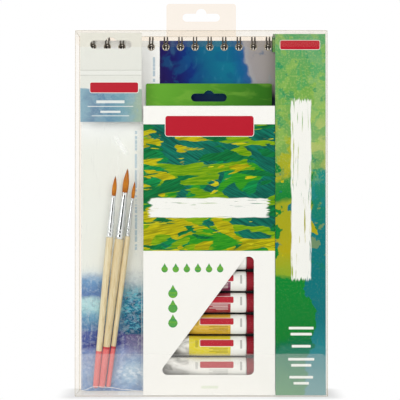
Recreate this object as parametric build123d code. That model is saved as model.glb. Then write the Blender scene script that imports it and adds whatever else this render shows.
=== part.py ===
from build123d import *
from math import asin, cos, degrees, pi, radians, sin, sqrt
import os

# Clear hanging box that holds a gouache set: a carton of paint tubes with a window,
# a hanging pouch of brushes and a printed card in front, a wire-bound pad behind
# them and a stapled manual at the back.
# Millimetres. X runs to the right, Y from front to back, Z up. The origin is the
# middle of the box's footprint, on the surface that it stands on.

# --- clear sheet of the box ---
SHEET = 0.4               # thickness of the clear sheet
FOLD_GAP = 0.1            # air between two folded leaves of the box
TOP_TUCK = 14.0           # height of the tuck behind the front wall, at the top
BOTTOM_TUCK = 36.0        # the same at the bottom
TUCK_CORNER = 5.0         # rounded corners of a tuck
DUST_FLAP_LENGTH = 35.0   # reach of a dust flap from its side wall
DUST_FLAP_TAPER = 4.0     # how much a dust flap narrows towards its end, each side
FLAP_SIDE_AIR = 0.6       # air between a flap's long edges and the walls
TAB_WIDTH = 61.0          # hang tab above the back
TAB_HEIGHT = 28.6
TAB_CORNER = 2.5

# --- hang slots: a long slot with a hook bump in the middle ---
BOX_SLOT = (32.8, 7.0, 4.3)      # length, height, rise of the bump
CARTON_SLOT = (30.9, 7.0, 2.7)
HEADER_SLOT = (35.3, 6.9, 2.8)
BUMP_RADIUS = 4.6
BOX_SLOT_RISE = 13.0             # slot's lower edge above the box
CARTON_SLOT_RISE = 5.4           # slot's lower edge above the carton's body
HEADER_SLOT_DROP = 13.5          # slot's lower edge below the header's fold

# --- wire-bound pad ---
PAD_WIDTH = 210.0
PAD_HEIGHT = 303.7
COVER_THICKNESS = 0.5
PAPER_THICKNESS = 4.8
BACKBOARD_THICKNESS = 1.5
PAD_CORNER = 1.5
HOLE_DIAMETER = 5.6
HOLE_SIDES = 8            # punched holes are drawn with short flats
LOOP_PITCH = 12.7
WIRE = 1.0                # thickness of the binding wire
WIRE_PAIR = 2.6           # between the two wires of one loop
RING_MARGIN = 1.8         # loop's middle line outside the pad's faces
RING_DROP = 1.6           # loop's centre below the pad's top edge
RING_SIDES = 8            # the wire is bent in short straight steps
PAD_LEFT_AIR = 2.6
PAD_RIGHT_AIR = 0.6
RING_TOP_AIR = 0.2
RING_BACK_AIR = 0.5
PAD_FRONT_AIR = 1.5       # between the carton and the binding

# --- manual behind the pad ---
MANUAL_TOP_SHORT = 6.7    # manual stands this much lower than the pad
MANUAL_COVER = 0.25
MANUAL_PAGES = 1.3
MANUAL_GAP = 0.3
PAGE_RECESS = 0.5         # pages stop short of the cover's free edges
STAPLE_LENGTH = 12.0
STAPLE_WIRE = 0.5
STAPLE_SHARE = 0.25       # a staple lies this share of the height from each end

# --- paint tubes ---
TUBE_COUNT = 12
TUBE_DIAMETER = 16.8
TUBE_LENGTH = 81.5        # shoulder to folded end
TUBE_ROUND = 40.0         # stretch that stays round behind the shoulder
TUBE_GAP = 1.55           # between neighbouring tubes
NECK_DIAMETER = 8.0       # over the thread, which is drawn as flats
NECK_SIDES = 8
NECK_LENGTH = 8.0
CRIMP_LENGTH = 5.0        # folded end
CRIMP_THICKNESS = 1.8
CRIMP_TILT = 38.0         # the flat ends lie over each other like shingles
CAP_LENGTH = 14.8
CAP_UNDER_TUBE = 0.6      # the cap is this much thinner than its tube
CAP_TAPER = 0.7           # how much the cap's radius shrinks towards its top
CAP_RIDGES = 12
CAP_RIDGE_DEPTH = 0.35
CAP_WALL_END = 4.0        # solid end of the cap
CAP_CLEARANCE = 0.3       # cap to shoulder and cap to neck
ROUND_EXTRA = 0.02        # keeps the round end's outline of the same kind as the fold's

# --- carton and its tray ---
CARTON_BOARD = 0.45
CARTON_LEFT_AIR = 5.55    # folded tube ends to the left wall
CARTON_RIGHT_AIR = 8.45   # caps to the right wall
FIRST_TUBE_RISE = 22.4    # first tube's middle above the carton's foot
LAST_TUBE_DROP = 20.75    # last tube's middle below the carton's top
TUBE_CLEARANCE = 0.3      # tubes to the tray and to the carton's front
TRAY_SHEET = 0.5
CHANNEL_ARC = 60.0        # a channel wraps its tube this far each side of its depth
TRAY_CLEARANCE = 0.3
TRAY_FLOOR = 0.4
TRAY_FLOOR_INSET = 0.15   # flat floor lies this far behind the channels' depth
CHANNEL_SHORT = 1.5       # channels end this far before the tubes start to flatten
CARTON_TAB_INSET = 1.3
CARTON_TAB_HEIGHT = 21.0
CARTON_TAB_CORNER = 1.5
CARTON_GAP = 0.4          # carton to the printed card
CARTON_TUCK = 14.0
WINDOW_RISE = 17.1        # window's lower edge above the carton's foot
WINDOW_HEIGHT = 100.1
WINDOW_FOOT = 81.7        # window's length along its lower edge
WINDOW_HEAD = 6.7         # and along its upper edge
WINDOW_CORNER = 4.2
WINDOW_OVER_CAPS = 5.9    # how much of the caps the window shows

# --- printed card ---
CARD_BOARD = 0.5
CARD_RIGHT_AIR = 1.2
CARD_TOP_AIR = 2.0
CARD_RETURN_DEPTH = 18.0
CARD_RETURN_DROP = 13.0
CARD_RETURN_SIDE = 1.8    # the folded return is this much wider on the left

# --- hanging pouch ---
POUCH_WIDTH = 52.3
POUCH_LEFT_AIR = 3.6
POUCH_RIGHT_AIR = 1.6     # pouch to the carton
POUCH_FOOT_AIR = 0.5      # fullest part of the pouch to the pad
POUCH_HEAD_AIR = 1.1      # header to the tuck in front of it
POUCH_TOP_AIR = 0.3
POUCH_THICKNESS = 9.4
FILM = 0.2
FILM_SEAL = 0.7           # thickness of the flat sealed film
FILM_CORNER_SHARE = 0.4   # bevel at the pouch's sides over its thickness
HEADER_HEIGHT = 75.6
HEADER_BOARD = 0.4
HEADER_OVERLAP = 40.0     # the film reaches this far up inside the header
HEADER_GAP = 0.1          # film to the header's leaves
POUCH_SEAM = 0.6          # half thickness of the bottom seam, and its height
POUCH_FOOT_HEIGHT = 3.0   # rounded foot above the seam
POUCH_FOOT_THINNING = 0.6
POUCH_SWELL_HEIGHT = 20.0  # the pouch is full from this height
POUCH_SLOPE = (17.0, 2.0)  # it thins between these two heights below the header's edge

# --- round brushes ---
BRUSH_LENGTH = 190.0      # longest brush
BRUSH_WIDTH = 7.8         # thickest handle
BRUSH_FOOT_HEIGHT = 3.0   # foot of each brush above the pouch's seam
# each: lean to the right in degrees
BRUSH_LEANS = [5.60, 6.94, 7.54]
# each: foot's place across the pouch and behind its middle, as shares of the pouch's width
BRUSH_FEET = [(-0.2706, -0.0229), (-0.1706, 0.0000), (-0.0667, 0.0287)]
# each: lengths of the handle, ferrule and hair, as shares of BRUSH_LENGTH
LENGTH_SHARES = [(0.6874, 0.1884, 0.0884), (0.6811, 0.2116, 0.1074), (0.6937, 0.1737, 0.0753)]
# each: foot, fullest, handle at the ferrule, ferrule's foot and hair's foot, as shares of BRUSH_WIDTH
WIDTH_SHARES = [
    (0.6282, 0.7821, 0.7436, 0.7051, 0.4744),
    (0.7051, 1.0000, 0.9615, 0.9231, 0.6154),
    (0.5128, 0.6410, 0.5641, 0.5385, 0.3718),
]
BRUSH_SIDES = 12
HANDLE_FOOT_ROUNDING = 0.6  # rounded foot, as a share of its radius
HANDLE_WAIST = 0.6        # mean thickness at this share of the height of the fullest part
HANDLE_BELLY = 0.78       # fullest part, as a share of the handle's length
GROOVE_SHARE = 0.1        # crimped ring, as a share of the ferrule's length
GROOVE_HALF = 0.7         # half of the ring's width
GROOVE_DEPTH = 0.3
HAIR_INSET = 0.1          # hair inside the ferrule's mouth
HAIR_BELLY = 0.30         # fullest part of the hair, as a share of its length
HAIR_SWELL = 1.12         # fullest hair over the ferrule's mouth
HAIR_SHOULDER = (0.75, 0.65)  # share of the radius, at this share of the length
HAIR_POINT = 0.25         # radius of the hair's point

OVERCUT = 1.0             # a cut runs this far past the faces it opens

# --- sizes that follow ---
LOOP_COUNT = int(PAD_WIDTH / LOOP_PITCH)
MANUAL_HEIGHT = PAD_HEIGHT - MANUAL_TOP_SHORT
TUBE_PITCH = TUBE_DIAMETER + TUBE_GAP
CAP_DIAMETER = TUBE_DIAMETER - CAP_UNDER_TUBE
CARTON_INNER_DEPTH = TUBE_CLEARANCE * 2 + TUBE_DIAMETER + TRAY_SHEET + TRAY_CLEARANCE
CARTON_DEPTH = CARTON_INNER_DEPTH + 2 * CARTON_BOARD
CARTON_FILLING = CARTON_LEFT_AIR + TUBE_LENGTH + CAP_CLEARANCE + CAP_LENGTH
CARTON_WIDTH = CARTON_FILLING + CARTON_RIGHT_AIR + 2 * CARTON_BOARD
CARTON_HEIGHT = FIRST_TUBE_RISE + (TUBE_COUNT - 1) * TUBE_PITCH + LAST_TUBE_DROP
PAD_THICKNESS = COVER_THICKNESS + PAPER_THICKNESS + BACKBOARD_THICKNESS
RING_RADIUS = PAD_THICKNESS / 2 + RING_MARGIN
RING_OUTER = RING_RADIUS + WIRE / 2

LEAF = SHEET + FOLD_GAP
FLOOR_Z = 2 * LEAF
PAD_TOP_Z = FLOOR_Z + PAD_HEIGHT
RING_Z = PAD_TOP_Z - RING_DROP
HOLE_Z = RING_Z - sqrt(RING_RADIUS**2 - (PAD_THICKNESS / 2) ** 2)
CARTON_TOP_Z = FLOOR_Z + CARTON_HEIGHT
CARTON_TAB_TOP_Z = CARTON_TOP_Z + CARTON_TAB_HEIGHT
CEILING_Z = max(RING_Z + RING_OUTER, CARTON_TAB_TOP_Z) + RING_TOP_AIR
BOX_HEIGHT = CEILING_Z + 2 * LEAF

BOX_WIDTH = PAD_WIDTH + PAD_LEFT_AIR + PAD_RIGHT_AIR + 2 * SHEET
FRONT_STACK = SHEET + FOLD_GAP + SHEET + 2 * FOLD_GAP
BACK_STACK = RING_BACK_AIR + 2 * SHEET
BOX_DEPTH = FRONT_STACK + CARTON_DEPTH + PAD_FRONT_AIR + 2 * RING_OUTER + BACK_STACK

FRONT_Y = -BOX_DEPTH / 2
BACK_Y = BOX_DEPTH / 2
WALL_BACK_Y = BACK_Y - SHEET                  # outer face of the back wall
INNER_FRONT_Y = FRONT_Y + SHEET
INNER_BACK_Y = WALL_BACK_Y - SHEET
INNER_LEFT_X = -BOX_WIDTH / 2 + SHEET
INNER_RIGHT_X = BOX_WIDTH / 2 - SHEET

CARTON_FRONT_Y = FRONT_Y + FRONT_STACK
CARTON_BACK_Y = CARTON_FRONT_Y + CARTON_DEPTH
POUCH_LEFT_X = INNER_LEFT_X + POUCH_LEFT_AIR
POUCH_RIGHT_X = POUCH_LEFT_X + POUCH_WIDTH
CARTON_LEFT_X = POUCH_RIGHT_X + POUCH_RIGHT_AIR
CARTON_RIGHT_X = CARTON_LEFT_X + CARTON_WIDTH
CARD_LEFT_X = CARTON_RIGHT_X + CARTON_GAP
CARD_RIGHT_X = INNER_RIGHT_X - CARD_RIGHT_AIR
CARTON_MID_X = (CARTON_LEFT_X + CARTON_RIGHT_X) / 2
TUBE_Y = CARTON_FRONT_Y + CARTON_BOARD + TUBE_CLEARANCE + TUBE_DIAMETER / 2
CRIMP_X = CARTON_LEFT_X + CARTON_BOARD + CARTON_LEFT_AIR
SHOULDER_X = CRIMP_X + TUBE_LENGTH
CAP_X = SHOULDER_X + CAP_CLEARANCE

RING_Y = INNER_BACK_Y - RING_BACK_AIR - RING_OUTER
PAD_FRONT_Y = RING_Y - PAD_THICKNESS / 2
PAD_BACK_Y = PAD_FRONT_Y + PAD_THICKNESS
PAD_LEFT_X = INNER_LEFT_X + PAD_LEFT_AIR
PAD_RIGHT_X = PAD_LEFT_X + PAD_WIDTH
PAD_MID_X = (PAD_LEFT_X + PAD_RIGHT_X) / 2
MANUAL_FRONT_Y = PAD_BACK_Y + MANUAL_GAP

HEADER_HALF = FILM_SEAL / 2 + HEADER_GAP + HEADER_BOARD
POUCH_HEIGHT = CEILING_Z - POUCH_TOP_AIR - FLOOR_Z - POUCH_SEAM
POUCH_FOOT_Y = PAD_FRONT_Y - POUCH_FOOT_AIR - POUCH_THICKNESS / 2
POUCH_HEAD_Y = INNER_FRONT_Y + LEAF + POUCH_HEAD_AIR + HEADER_HALF
POUCH_LEAN = degrees(asin((POUCH_FOOT_Y - POUCH_HEAD_Y) / POUCH_HEIGHT))
HEADER_FOOT = POUCH_HEIGHT - HEADER_HEIGHT


def slab(x_range, y_range, z_range):
    """Rectangular block between two limits on each axis."""
    sizes = [high - low for low, high in (x_range, y_range, z_range)]
    middles = [(high + low) / 2 for low, high in (x_range, y_range, z_range)]
    return Pos(*middles) * Box(*sizes)


def hang_slot(length, height, rise):
    """Long slot with a round bump above its middle, its lower edge on y = 0."""
    bump_y = height + rise - BUMP_RADIUS
    return Pos(0, height / 2) * SlotOverall(length, height) + Pos(0, bump_y) * Circle(BUMP_RADIUS)


def upright(profile, y_front, thickness):
    """Raise an X-Z profile into a sheet whose front face lies at y_front."""
    return extrude(Plane.XZ.offset(-y_front) * profile, amount=-thickness)


def rounded_top(width, height, radius):
    """Rectangle on y = 0 whose two upper corners are round."""
    plain = Pos(0, height / 2) * Rectangle(width, height)
    return fillet(plain.vertices().group_by(Axis.Y)[-1], radius)


# --- the clear box ---

def clear_sleeve():
    """Four walls of the clear box, open at both ends."""
    half = BOX_WIDTH / 2
    outside = slab((-half, half), (FRONT_Y, WALL_BACK_Y), (0, BOX_HEIGHT))
    open_z = (-OVERCUT, BOX_HEIGHT + OVERCUT)
    inside = slab((INNER_LEFT_X, INNER_RIGHT_X), (INNER_FRONT_Y, INNER_BACK_Y), open_z)
    return outside - inside


def hanger_panel():
    """Fifth panel, glued on the back, that rises above the box as the hang tab."""
    panel = Pos(0, BOX_HEIGHT / 2) * Rectangle(BOX_WIDTH, BOX_HEIGHT)
    tab = Pos(0, BOX_HEIGHT) * rounded_top(TAB_WIDTH, TAB_HEIGHT, TAB_CORNER)
    slot = Pos(0, BOX_HEIGHT + BOX_SLOT_RISE) * hang_slot(*BOX_SLOT)
    return upright(panel + tab - slot, WALL_BACK_Y, SHEET)


def lid_panel(z_low):
    """Lid that closes one end between the walls, free at its crease on the back wall."""
    x_reach = (INNER_LEFT_X + FOLD_GAP, INNER_RIGHT_X - FOLD_GAP)
    y_reach = (INNER_FRONT_Y + FOLD_GAP, INNER_BACK_Y - FOLD_GAP)
    return slab(x_reach, y_reach, (z_low, z_low + SHEET))


def lid_tuck(height):
    """Tuck of a lid, standing on y = 0, to be set behind the front wall."""
    width = INNER_RIGHT_X - INNER_LEFT_X - 2 * FLAP_SIDE_AIR
    return rounded_top(width, height, TUCK_CORNER)


def bottom_lid_tuck():
    """Bottom tuck, up from the bottom lid behind the front wall."""
    profile = Pos(0, SHEET) * lid_tuck(BOTTOM_TUCK - SHEET)
    return upright(profile, INNER_FRONT_Y + FOLD_GAP, SHEET)


def top_lid_tuck():
    """Top tuck, down from the top lid behind the front wall."""
    profile = Pos(0, BOX_HEIGHT - SHEET) * Rot(0, 0, 180) * lid_tuck(TOP_TUCK - SHEET)
    return upright(profile, INNER_FRONT_Y + FOLD_GAP, SHEET)


def dust_flap(side, z_low):
    """Flap folded in from a side wall, between a lid and what the box holds."""
    wall_x = INNER_RIGHT_X if side > 0 else INNER_LEFT_X
    tip_x = wall_x - side * DUST_FLAP_LENGTH
    front = INNER_FRONT_Y + LEAF + FLAP_SIDE_AIR
    back = INNER_BACK_Y - FLAP_SIDE_AIR
    outline = Polyline(
        (wall_x, front),
        (tip_x, front + DUST_FLAP_TAPER),
        (tip_x, back - DUST_FLAP_TAPER),
        (wall_x, back),
        close=True,
    )
    return extrude(Pos(0, 0, z_low) * make_face(outline), amount=SHEET)


# --- the wire-bound pad ---

def loop_places():
    """X of the middle of each binding loop."""
    first = PAD_MID_X - (LOOP_COUNT - 1) / 2 * LOOP_PITCH
    return [first + i * LOOP_PITCH for i in range(LOOP_COUNT)]


def pad_layer(y_front, thickness):
    """One layer of the pad, punched for the binding."""
    sheet = Pos(PAD_MID_X, FLOOR_Z + PAD_HEIGHT / 2) * RectangleRounded(PAD_WIDTH, PAD_HEIGHT, PAD_CORNER)
    hole = RegularPolygon(HOLE_DIAMETER / 2, HOLE_SIDES)
    holes = [Pos(x, HOLE_Z) * hole for x in loop_places()]
    return upright(sheet - holes, y_front, thickness)


def pad_binding():
    """Twin-loop wire: pairs of rings through the holes, joined along the back."""
    ring = RegularPolygon(RING_OUTER, RING_SIDES) - RegularPolygon(RING_OUTER - WIRE, RING_SIDES)
    wires = []
    for x in loop_places():
        for side in (-1, 1):
            start = x + side * WIRE_PAIR / 2 - WIRE / 2
            plane = Plane((start, RING_Y, RING_Z), x_dir=(0, 1, 0), z_dir=(1, 0, 0))
            wires.append(extrude(plane * ring, amount=WIRE))
    ends = (loop_places()[0] - WIRE_PAIR / 2, loop_places()[-1] + WIRE_PAIR / 2)
    spine_y = (RING_Y + RING_OUTER - WIRE, RING_Y + RING_OUTER - WIRE / 4)
    spine = slab(ends, spine_y, (RING_Z - WIRE / 2, RING_Z + WIRE / 2))
    return spine + wires


# --- the manual ---

def manual_cover():
    """Folded cover with its spine on the left."""
    thickness = 2 * MANUAL_COVER + MANUAL_PAGES
    y_low = MANUAL_FRONT_Y
    z_reach = (FLOOR_Z, FLOOR_Z + MANUAL_HEIGHT)
    outside = slab((PAD_LEFT_X, PAD_RIGHT_X), (y_low, y_low + thickness), z_reach)
    spine_edges = outside.edges().filter_by(Axis.Z).group_by(Axis.X)[0]
    outside = fillet(spine_edges, thickness / 2 - MANUAL_COVER / 2)
    y_inner = (y_low + MANUAL_COVER, y_low + MANUAL_COVER + MANUAL_PAGES)
    inside = slab((PAD_LEFT_X + 2 * MANUAL_COVER, PAD_RIGHT_X + OVERCUT), y_inner, z_reach)
    return outside - inside


def manual_pages():
    """Block of folded pages inside the cover."""
    y_low = MANUAL_FRONT_Y + MANUAL_COVER
    z_reach = (FLOOR_Z + PAGE_RECESS, FLOOR_Z + MANUAL_HEIGHT - PAGE_RECESS)
    x_reach = (PAD_LEFT_X + 2 * MANUAL_COVER, PAD_RIGHT_X - PAGE_RECESS)
    return slab(x_reach, (y_low, y_low + MANUAL_PAGES), z_reach)


def manual_staples():
    """Two staples that lie on the outside of the spine."""
    y_mid = MANUAL_FRONT_Y + MANUAL_COVER + MANUAL_PAGES / 2
    heights = [MANUAL_HEIGHT * share for share in (STAPLE_SHARE, 1 - STAPLE_SHARE)]
    places = [Pos(PAD_LEFT_X - STAPLE_WIRE / 2, y_mid, FLOOR_Z + height) for height in heights]
    return Compound([place * Box(STAPLE_WIRE, STAPLE_WIRE, STAPLE_LENGTH) for place in places])


# --- the carton and the tray of tubes ---

def window_outline():
    """Window in the carton's front: one long slanted side, cut over the tubes."""
    right = CAP_X + WINDOW_OVER_CAPS
    low = FLOOR_Z + WINDOW_RISE
    high = low + WINDOW_HEIGHT
    outline = Polyline(
        (right - WINDOW_FOOT, low),
        (right, low),
        (right, high),
        (right - WINDOW_HEAD, high),
        close=True,
    )
    face = make_face(outline)
    return fillet(face.vertices(), WINDOW_CORNER)


def carton_shell():
    """Folded carton with its window, and its back wall raised as a hang tab."""
    x_reach = (CARTON_LEFT_X, CARTON_RIGHT_X)
    inner_x = (CARTON_LEFT_X + CARTON_BOARD, CARTON_RIGHT_X - CARTON_BOARD)
    inner_y = (CARTON_FRONT_Y + CARTON_BOARD, CARTON_BACK_Y - CARTON_BOARD)
    walls = slab(x_reach, (CARTON_FRONT_Y, CARTON_BACK_Y), (FLOOR_Z, CARTON_TOP_Z))
    walls -= slab(inner_x, inner_y, (FLOOR_Z - OVERCUT, CARTON_TOP_Z + OVERCUT))
    walls -= upright(window_outline(), CARTON_FRONT_Y - CARTON_BOARD, 2 * CARTON_BOARD)
    tab_width = CARTON_WIDTH - 2 * CARTON_TAB_INSET
    tab = rounded_top(tab_width, CARTON_TAB_HEIGHT, CARTON_TAB_CORNER)
    tab -= Pos(0, CARTON_SLOT_RISE) * hang_slot(*CARTON_SLOT)
    return walls + upright(Pos(CARTON_MID_X, CARTON_TOP_Z) * tab, CARTON_BACK_Y - CARTON_BOARD, CARTON_BOARD)


def carton_closure(z_outer, inward):
    """End panel of the carton with its tuck behind the front wall."""
    side_air = FOLD_GAP + CARTON_BOARD
    x_reach = (CARTON_LEFT_X + side_air, CARTON_RIGHT_X - side_air)
    front = CARTON_FRONT_Y + side_air
    z_panel = sorted((z_outer, z_outer + inward * CARTON_BOARD))
    panel = slab(x_reach, (front, CARTON_BACK_Y - side_air), z_panel)
    tuck_y = (front, front + TUBE_CLEARANCE - FOLD_GAP)
    tuck = slab(x_reach, tuck_y, sorted((z_outer, z_outer + inward * CARTON_TUCK)))
    return panel + tuck


def tube_heights():
    """Z of the middle of each tube, from the lowest."""
    return [FLOOR_Z + FIRST_TUBE_RISE + i * TUBE_PITCH for i in range(TUBE_COUNT)]


def tube_tray():
    """Formed black tray: a channel for each tube, a flat floor and a rim all round."""
    inner_radius = TUBE_DIAMETER / 2 + TUBE_CLEARANCE
    outer_radius = inner_radius + TRAY_SHEET
    left = CARTON_LEFT_X + CARTON_BOARD + TRAY_CLEARANCE
    right = CARTON_RIGHT_X - CARTON_BOARD - TRAY_CLEARANCE
    low = FLOOR_Z + CARTON_BOARD + TRAY_CLEARANCE
    high = CARTON_TOP_Z - CARTON_BOARD - TRAY_CLEARANCE
    floor_y = TUBE_Y + inner_radius + TRAY_FLOOR_INSET
    body = slab((left, right), (TUBE_Y, floor_y + TRAY_FLOOR), (low, high))
    inner_x = (left + TRAY_SHEET, right - TRAY_SHEET)
    inner_z = (low + TRAY_SHEET, high - TRAY_SHEET)
    body -= slab(inner_x, (TUBE_Y - OVERCUT, floor_y), inner_z)
    crest_y = TUBE_Y + inner_radius * cos(radians(CHANNEL_ARC))
    crest_width = TUBE_PITCH - 2 * inner_radius * sin(radians(CHANNEL_ARC)) + TRAY_SHEET
    wave = Sketch()
    for z in tube_heights():
        wave += Pos(TUBE_Y, z) * (Circle(outer_radius) - Circle(inner_radius))
    wave &= Pos(crest_y + outer_radius, (low + high) / 2) * Rectangle(2 * outer_radius, high - low)
    for z in tube_heights()[1:]:
        crest = Pos(crest_y + TRAY_SHEET / 2, z - TUBE_PITCH / 2)
        wave += crest * Rectangle(TRAY_SHEET, crest_width)
    start = SHOULDER_X - TUBE_ROUND + CHANNEL_SHORT
    plane = Plane((start, 0, 0), x_dir=(0, 1, 0), z_dir=(1, 0, 0))
    return body + extrude(plane * wave, amount=right - start)


def paint_tube(z):
    """Soft metal tube: round at the shoulder, pressed flat and folded at its end."""
    radius = TUBE_DIAMETER / 2
    fold_width = pi * radius - CRIMP_THICKNESS
    round_start = SHOULDER_X - TUBE_ROUND
    fold_end = CRIMP_X + CRIMP_LENGTH
    tilt = radians(CRIMP_TILT)

    def across(x):
        return Plane((x, TUBE_Y, z), x_dir=(0, -sin(tilt), cos(tilt)), z_dir=(1, 0, 0))

    round_end = across(round_start) * SlotOverall(TUBE_DIAMETER + ROUND_EXTRA, TUBE_DIAMETER)
    flat_end = across(fold_end) * SlotOverall(fold_width, CRIMP_THICKNESS)
    body = loft([flat_end, round_end], ruled=True)
    body += extrude(across(round_start) * Circle(radius), amount=TUBE_ROUND)
    fold = across(CRIMP_X) * Rectangle(fold_width, CRIMP_THICKNESS)
    body += extrude(fold, amount=CRIMP_LENGTH)
    neck = across(SHOULDER_X) * RegularPolygon(NECK_DIAMETER / 2, NECK_SIDES)
    return body + extrude(neck, amount=NECK_LENGTH)


def ridged(radius):
    """Toothed outline of a screw cap."""
    points = []
    for i in range(2 * CAP_RIDGES):
        reach = radius - (CAP_RIDGE_DEPTH if i % 2 else 0)
        turn = pi * i / CAP_RIDGES
        points.append((reach * cos(turn), reach * sin(turn)))
    return make_face(Polyline(*points, close=True))


def tube_cap(z):
    """Ridged screw cap over the tube's neck."""
    foot = Plane((CAP_X, TUBE_Y, z), x_dir=(0, 1, 0), z_dir=(1, 0, 0))
    head = foot.offset(CAP_LENGTH)
    body = loft([foot * ridged(CAP_DIAMETER / 2), head * ridged(CAP_DIAMETER / 2 - CAP_TAPER)], ruled=True)
    bore_reach = (NECK_DIAMETER / 2 + CAP_CLEARANCE) / cos(pi / NECK_SIDES)
    bore = foot * RegularPolygon(bore_reach, NECK_SIDES)
    return body - extrude(bore, amount=CAP_LENGTH - CAP_WALL_END)


# --- the printed card ---

def side_card():
    """Printed card on the right, folded back and down at its top."""
    top = CEILING_Z - CARD_TOP_AIR
    front = CARTON_FRONT_Y
    back = front + CARD_RETURN_DEPTH
    wide = (CARD_LEFT_X - CARD_RETURN_SIDE, CARD_RIGHT_X)
    panel = slab((CARD_LEFT_X, CARD_RIGHT_X), (front, front + CARD_BOARD), (FLOOR_Z, top))
    roof = slab(wide, (front, back), (top - CARD_BOARD, top))
    drop = slab(wide, (back - CARD_BOARD, back), (top - CARD_RETURN_DROP, top))
    return panel + roof + drop


# --- the pouch and its brushes ---

def in_pouch(shape):
    """Set a shape from the pouch's own plane into the box, leaning to the front."""
    middle_x = (POUCH_LEFT_X + POUCH_RIGHT_X) / 2
    return Pos(middle_x, POUCH_FOOT_Y, FLOOR_Z + POUCH_SEAM) * Rot(POUCH_LEAN, 0, 0) * shape


def pouch_body(inset):
    """Pouch from its bottom seam to the flat film inside the header."""
    seal = FILM_SEAL / 2
    full = POUCH_THICKNESS / 2
    slope_start, slope_end = [HEADER_FOOT - drop for drop in POUCH_SLOPE]
    rows = [
        (inset, POUCH_SEAM),
        (POUCH_FOOT_HEIGHT, full - POUCH_FOOT_THINNING),
        (POUCH_SWELL_HEIGHT, full),
        (slope_start, full),
        (slope_end, seal),
        (HEADER_FOOT + HEADER_OVERLAP - inset, seal),
    ]
    sections = []
    for height, half in rows:
        thickness = 2 * (half - inset)
        plain = Rectangle(POUCH_WIDTH - 2 * inset, thickness)
        outline = chamfer(plain.vertices(), thickness * FILM_CORNER_SHARE)
        sections.append(Pos(0, 0, height) * outline)
    return loft(sections, ruled=True)


def pouch_film():
    """Clear film pouch, sealed at its bottom and along its top."""
    return in_pouch(pouch_body(0) - pouch_body(FILM))


def pouch_header():
    """Folded card over the pouch's top, cut for a hook."""
    width = POUCH_WIDTH
    z_reach = (HEADER_FOOT, POUCH_HEIGHT)
    gap = HEADER_HALF - HEADER_BOARD
    card = slab((-width / 2, width / 2), (-HEADER_HALF, HEADER_HALF), z_reach)
    card -= slab((-width, width), (-gap, gap), (HEADER_FOOT - OVERCUT, POUCH_HEIGHT - HEADER_BOARD))
    slot = Pos(0, POUCH_HEIGHT - HEADER_SLOT_DROP) * hang_slot(*HEADER_SLOT)
    return in_pouch(card - upright(slot, -2 * HEADER_HALF, 4 * HEADER_HALF))


def set_brush(index, shape):
    """Stand a shape from the brush's own axis in its place in the pouch."""
    across, behind = [POUCH_WIDTH * share for share in BRUSH_FEET[index]]
    foot = Pos(across, behind, BRUSH_FOOT_HEIGHT)
    return in_pouch(foot * Rot(0, BRUSH_LEANS[index], 0) * shape)


def brush_lengths(index):
    """Lengths of a brush's handle, ferrule and hair."""
    return [BRUSH_LENGTH * share for share in LENGTH_SHARES[index]]


def brush_radii(index):
    """Radii at a brush's foot, fullest part, handle's end, ferrule's foot and hair's foot."""
    return [BRUSH_WIDTH * share / 2 for share in WIDTH_SHARES[index]]


def turned(points):
    """Slim round solid about Z through (radius, height) points, with narrow flats."""
    sections = [Pos(0, 0, height) * RegularPolygon(radius, BRUSH_SIDES) for radius, height in points]
    return loft(sections, ruled=True)


def brush_handle(index):
    """Turned wooden handle, fullest below the ferrule."""
    length = brush_lengths(index)[0]
    foot, fullest, mouth = brush_radii(index)[:3]
    belly = length * HANDLE_BELLY
    rounding = foot * HANDLE_FOOT_ROUNDING
    points = [
        (rounding, 0),
        (foot, rounding),
        ((foot + fullest) / 2, belly * HANDLE_WAIST),
        (fullest, belly),
        (mouth, length),
    ]
    return set_brush(index, turned(points))


def brush_ferrule(index):
    """Tapered metal sleeve with a crimped ring near the handle."""
    start, length = brush_lengths(index)[:2]
    foot, mouth = brush_radii(index)[3:]
    groove = start + GROOVE_SHARE * length
    points = [
        (foot, start),
        (foot, groove - GROOVE_HALF),
        (foot - GROOVE_DEPTH, groove),
        (foot, groove + GROOVE_HALF),
        (mouth, start + length),
    ]
    return set_brush(index, turned(points))


def brush_hair(index):
    """Pointed round hair."""
    handle, ferrule, length = brush_lengths(index)
    start = handle + ferrule
    mouth = brush_radii(index)[4] - HAIR_INSET
    shoulder, shoulder_share = HAIR_SHOULDER
    points = [
        (mouth, start),
        (mouth * HAIR_SWELL, start + HAIR_BELLY * length),
        (mouth * shoulder, start + shoulder_share * length),
        (HAIR_POINT, start + length),
    ]
    return set_brush(index, turned(points))


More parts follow.
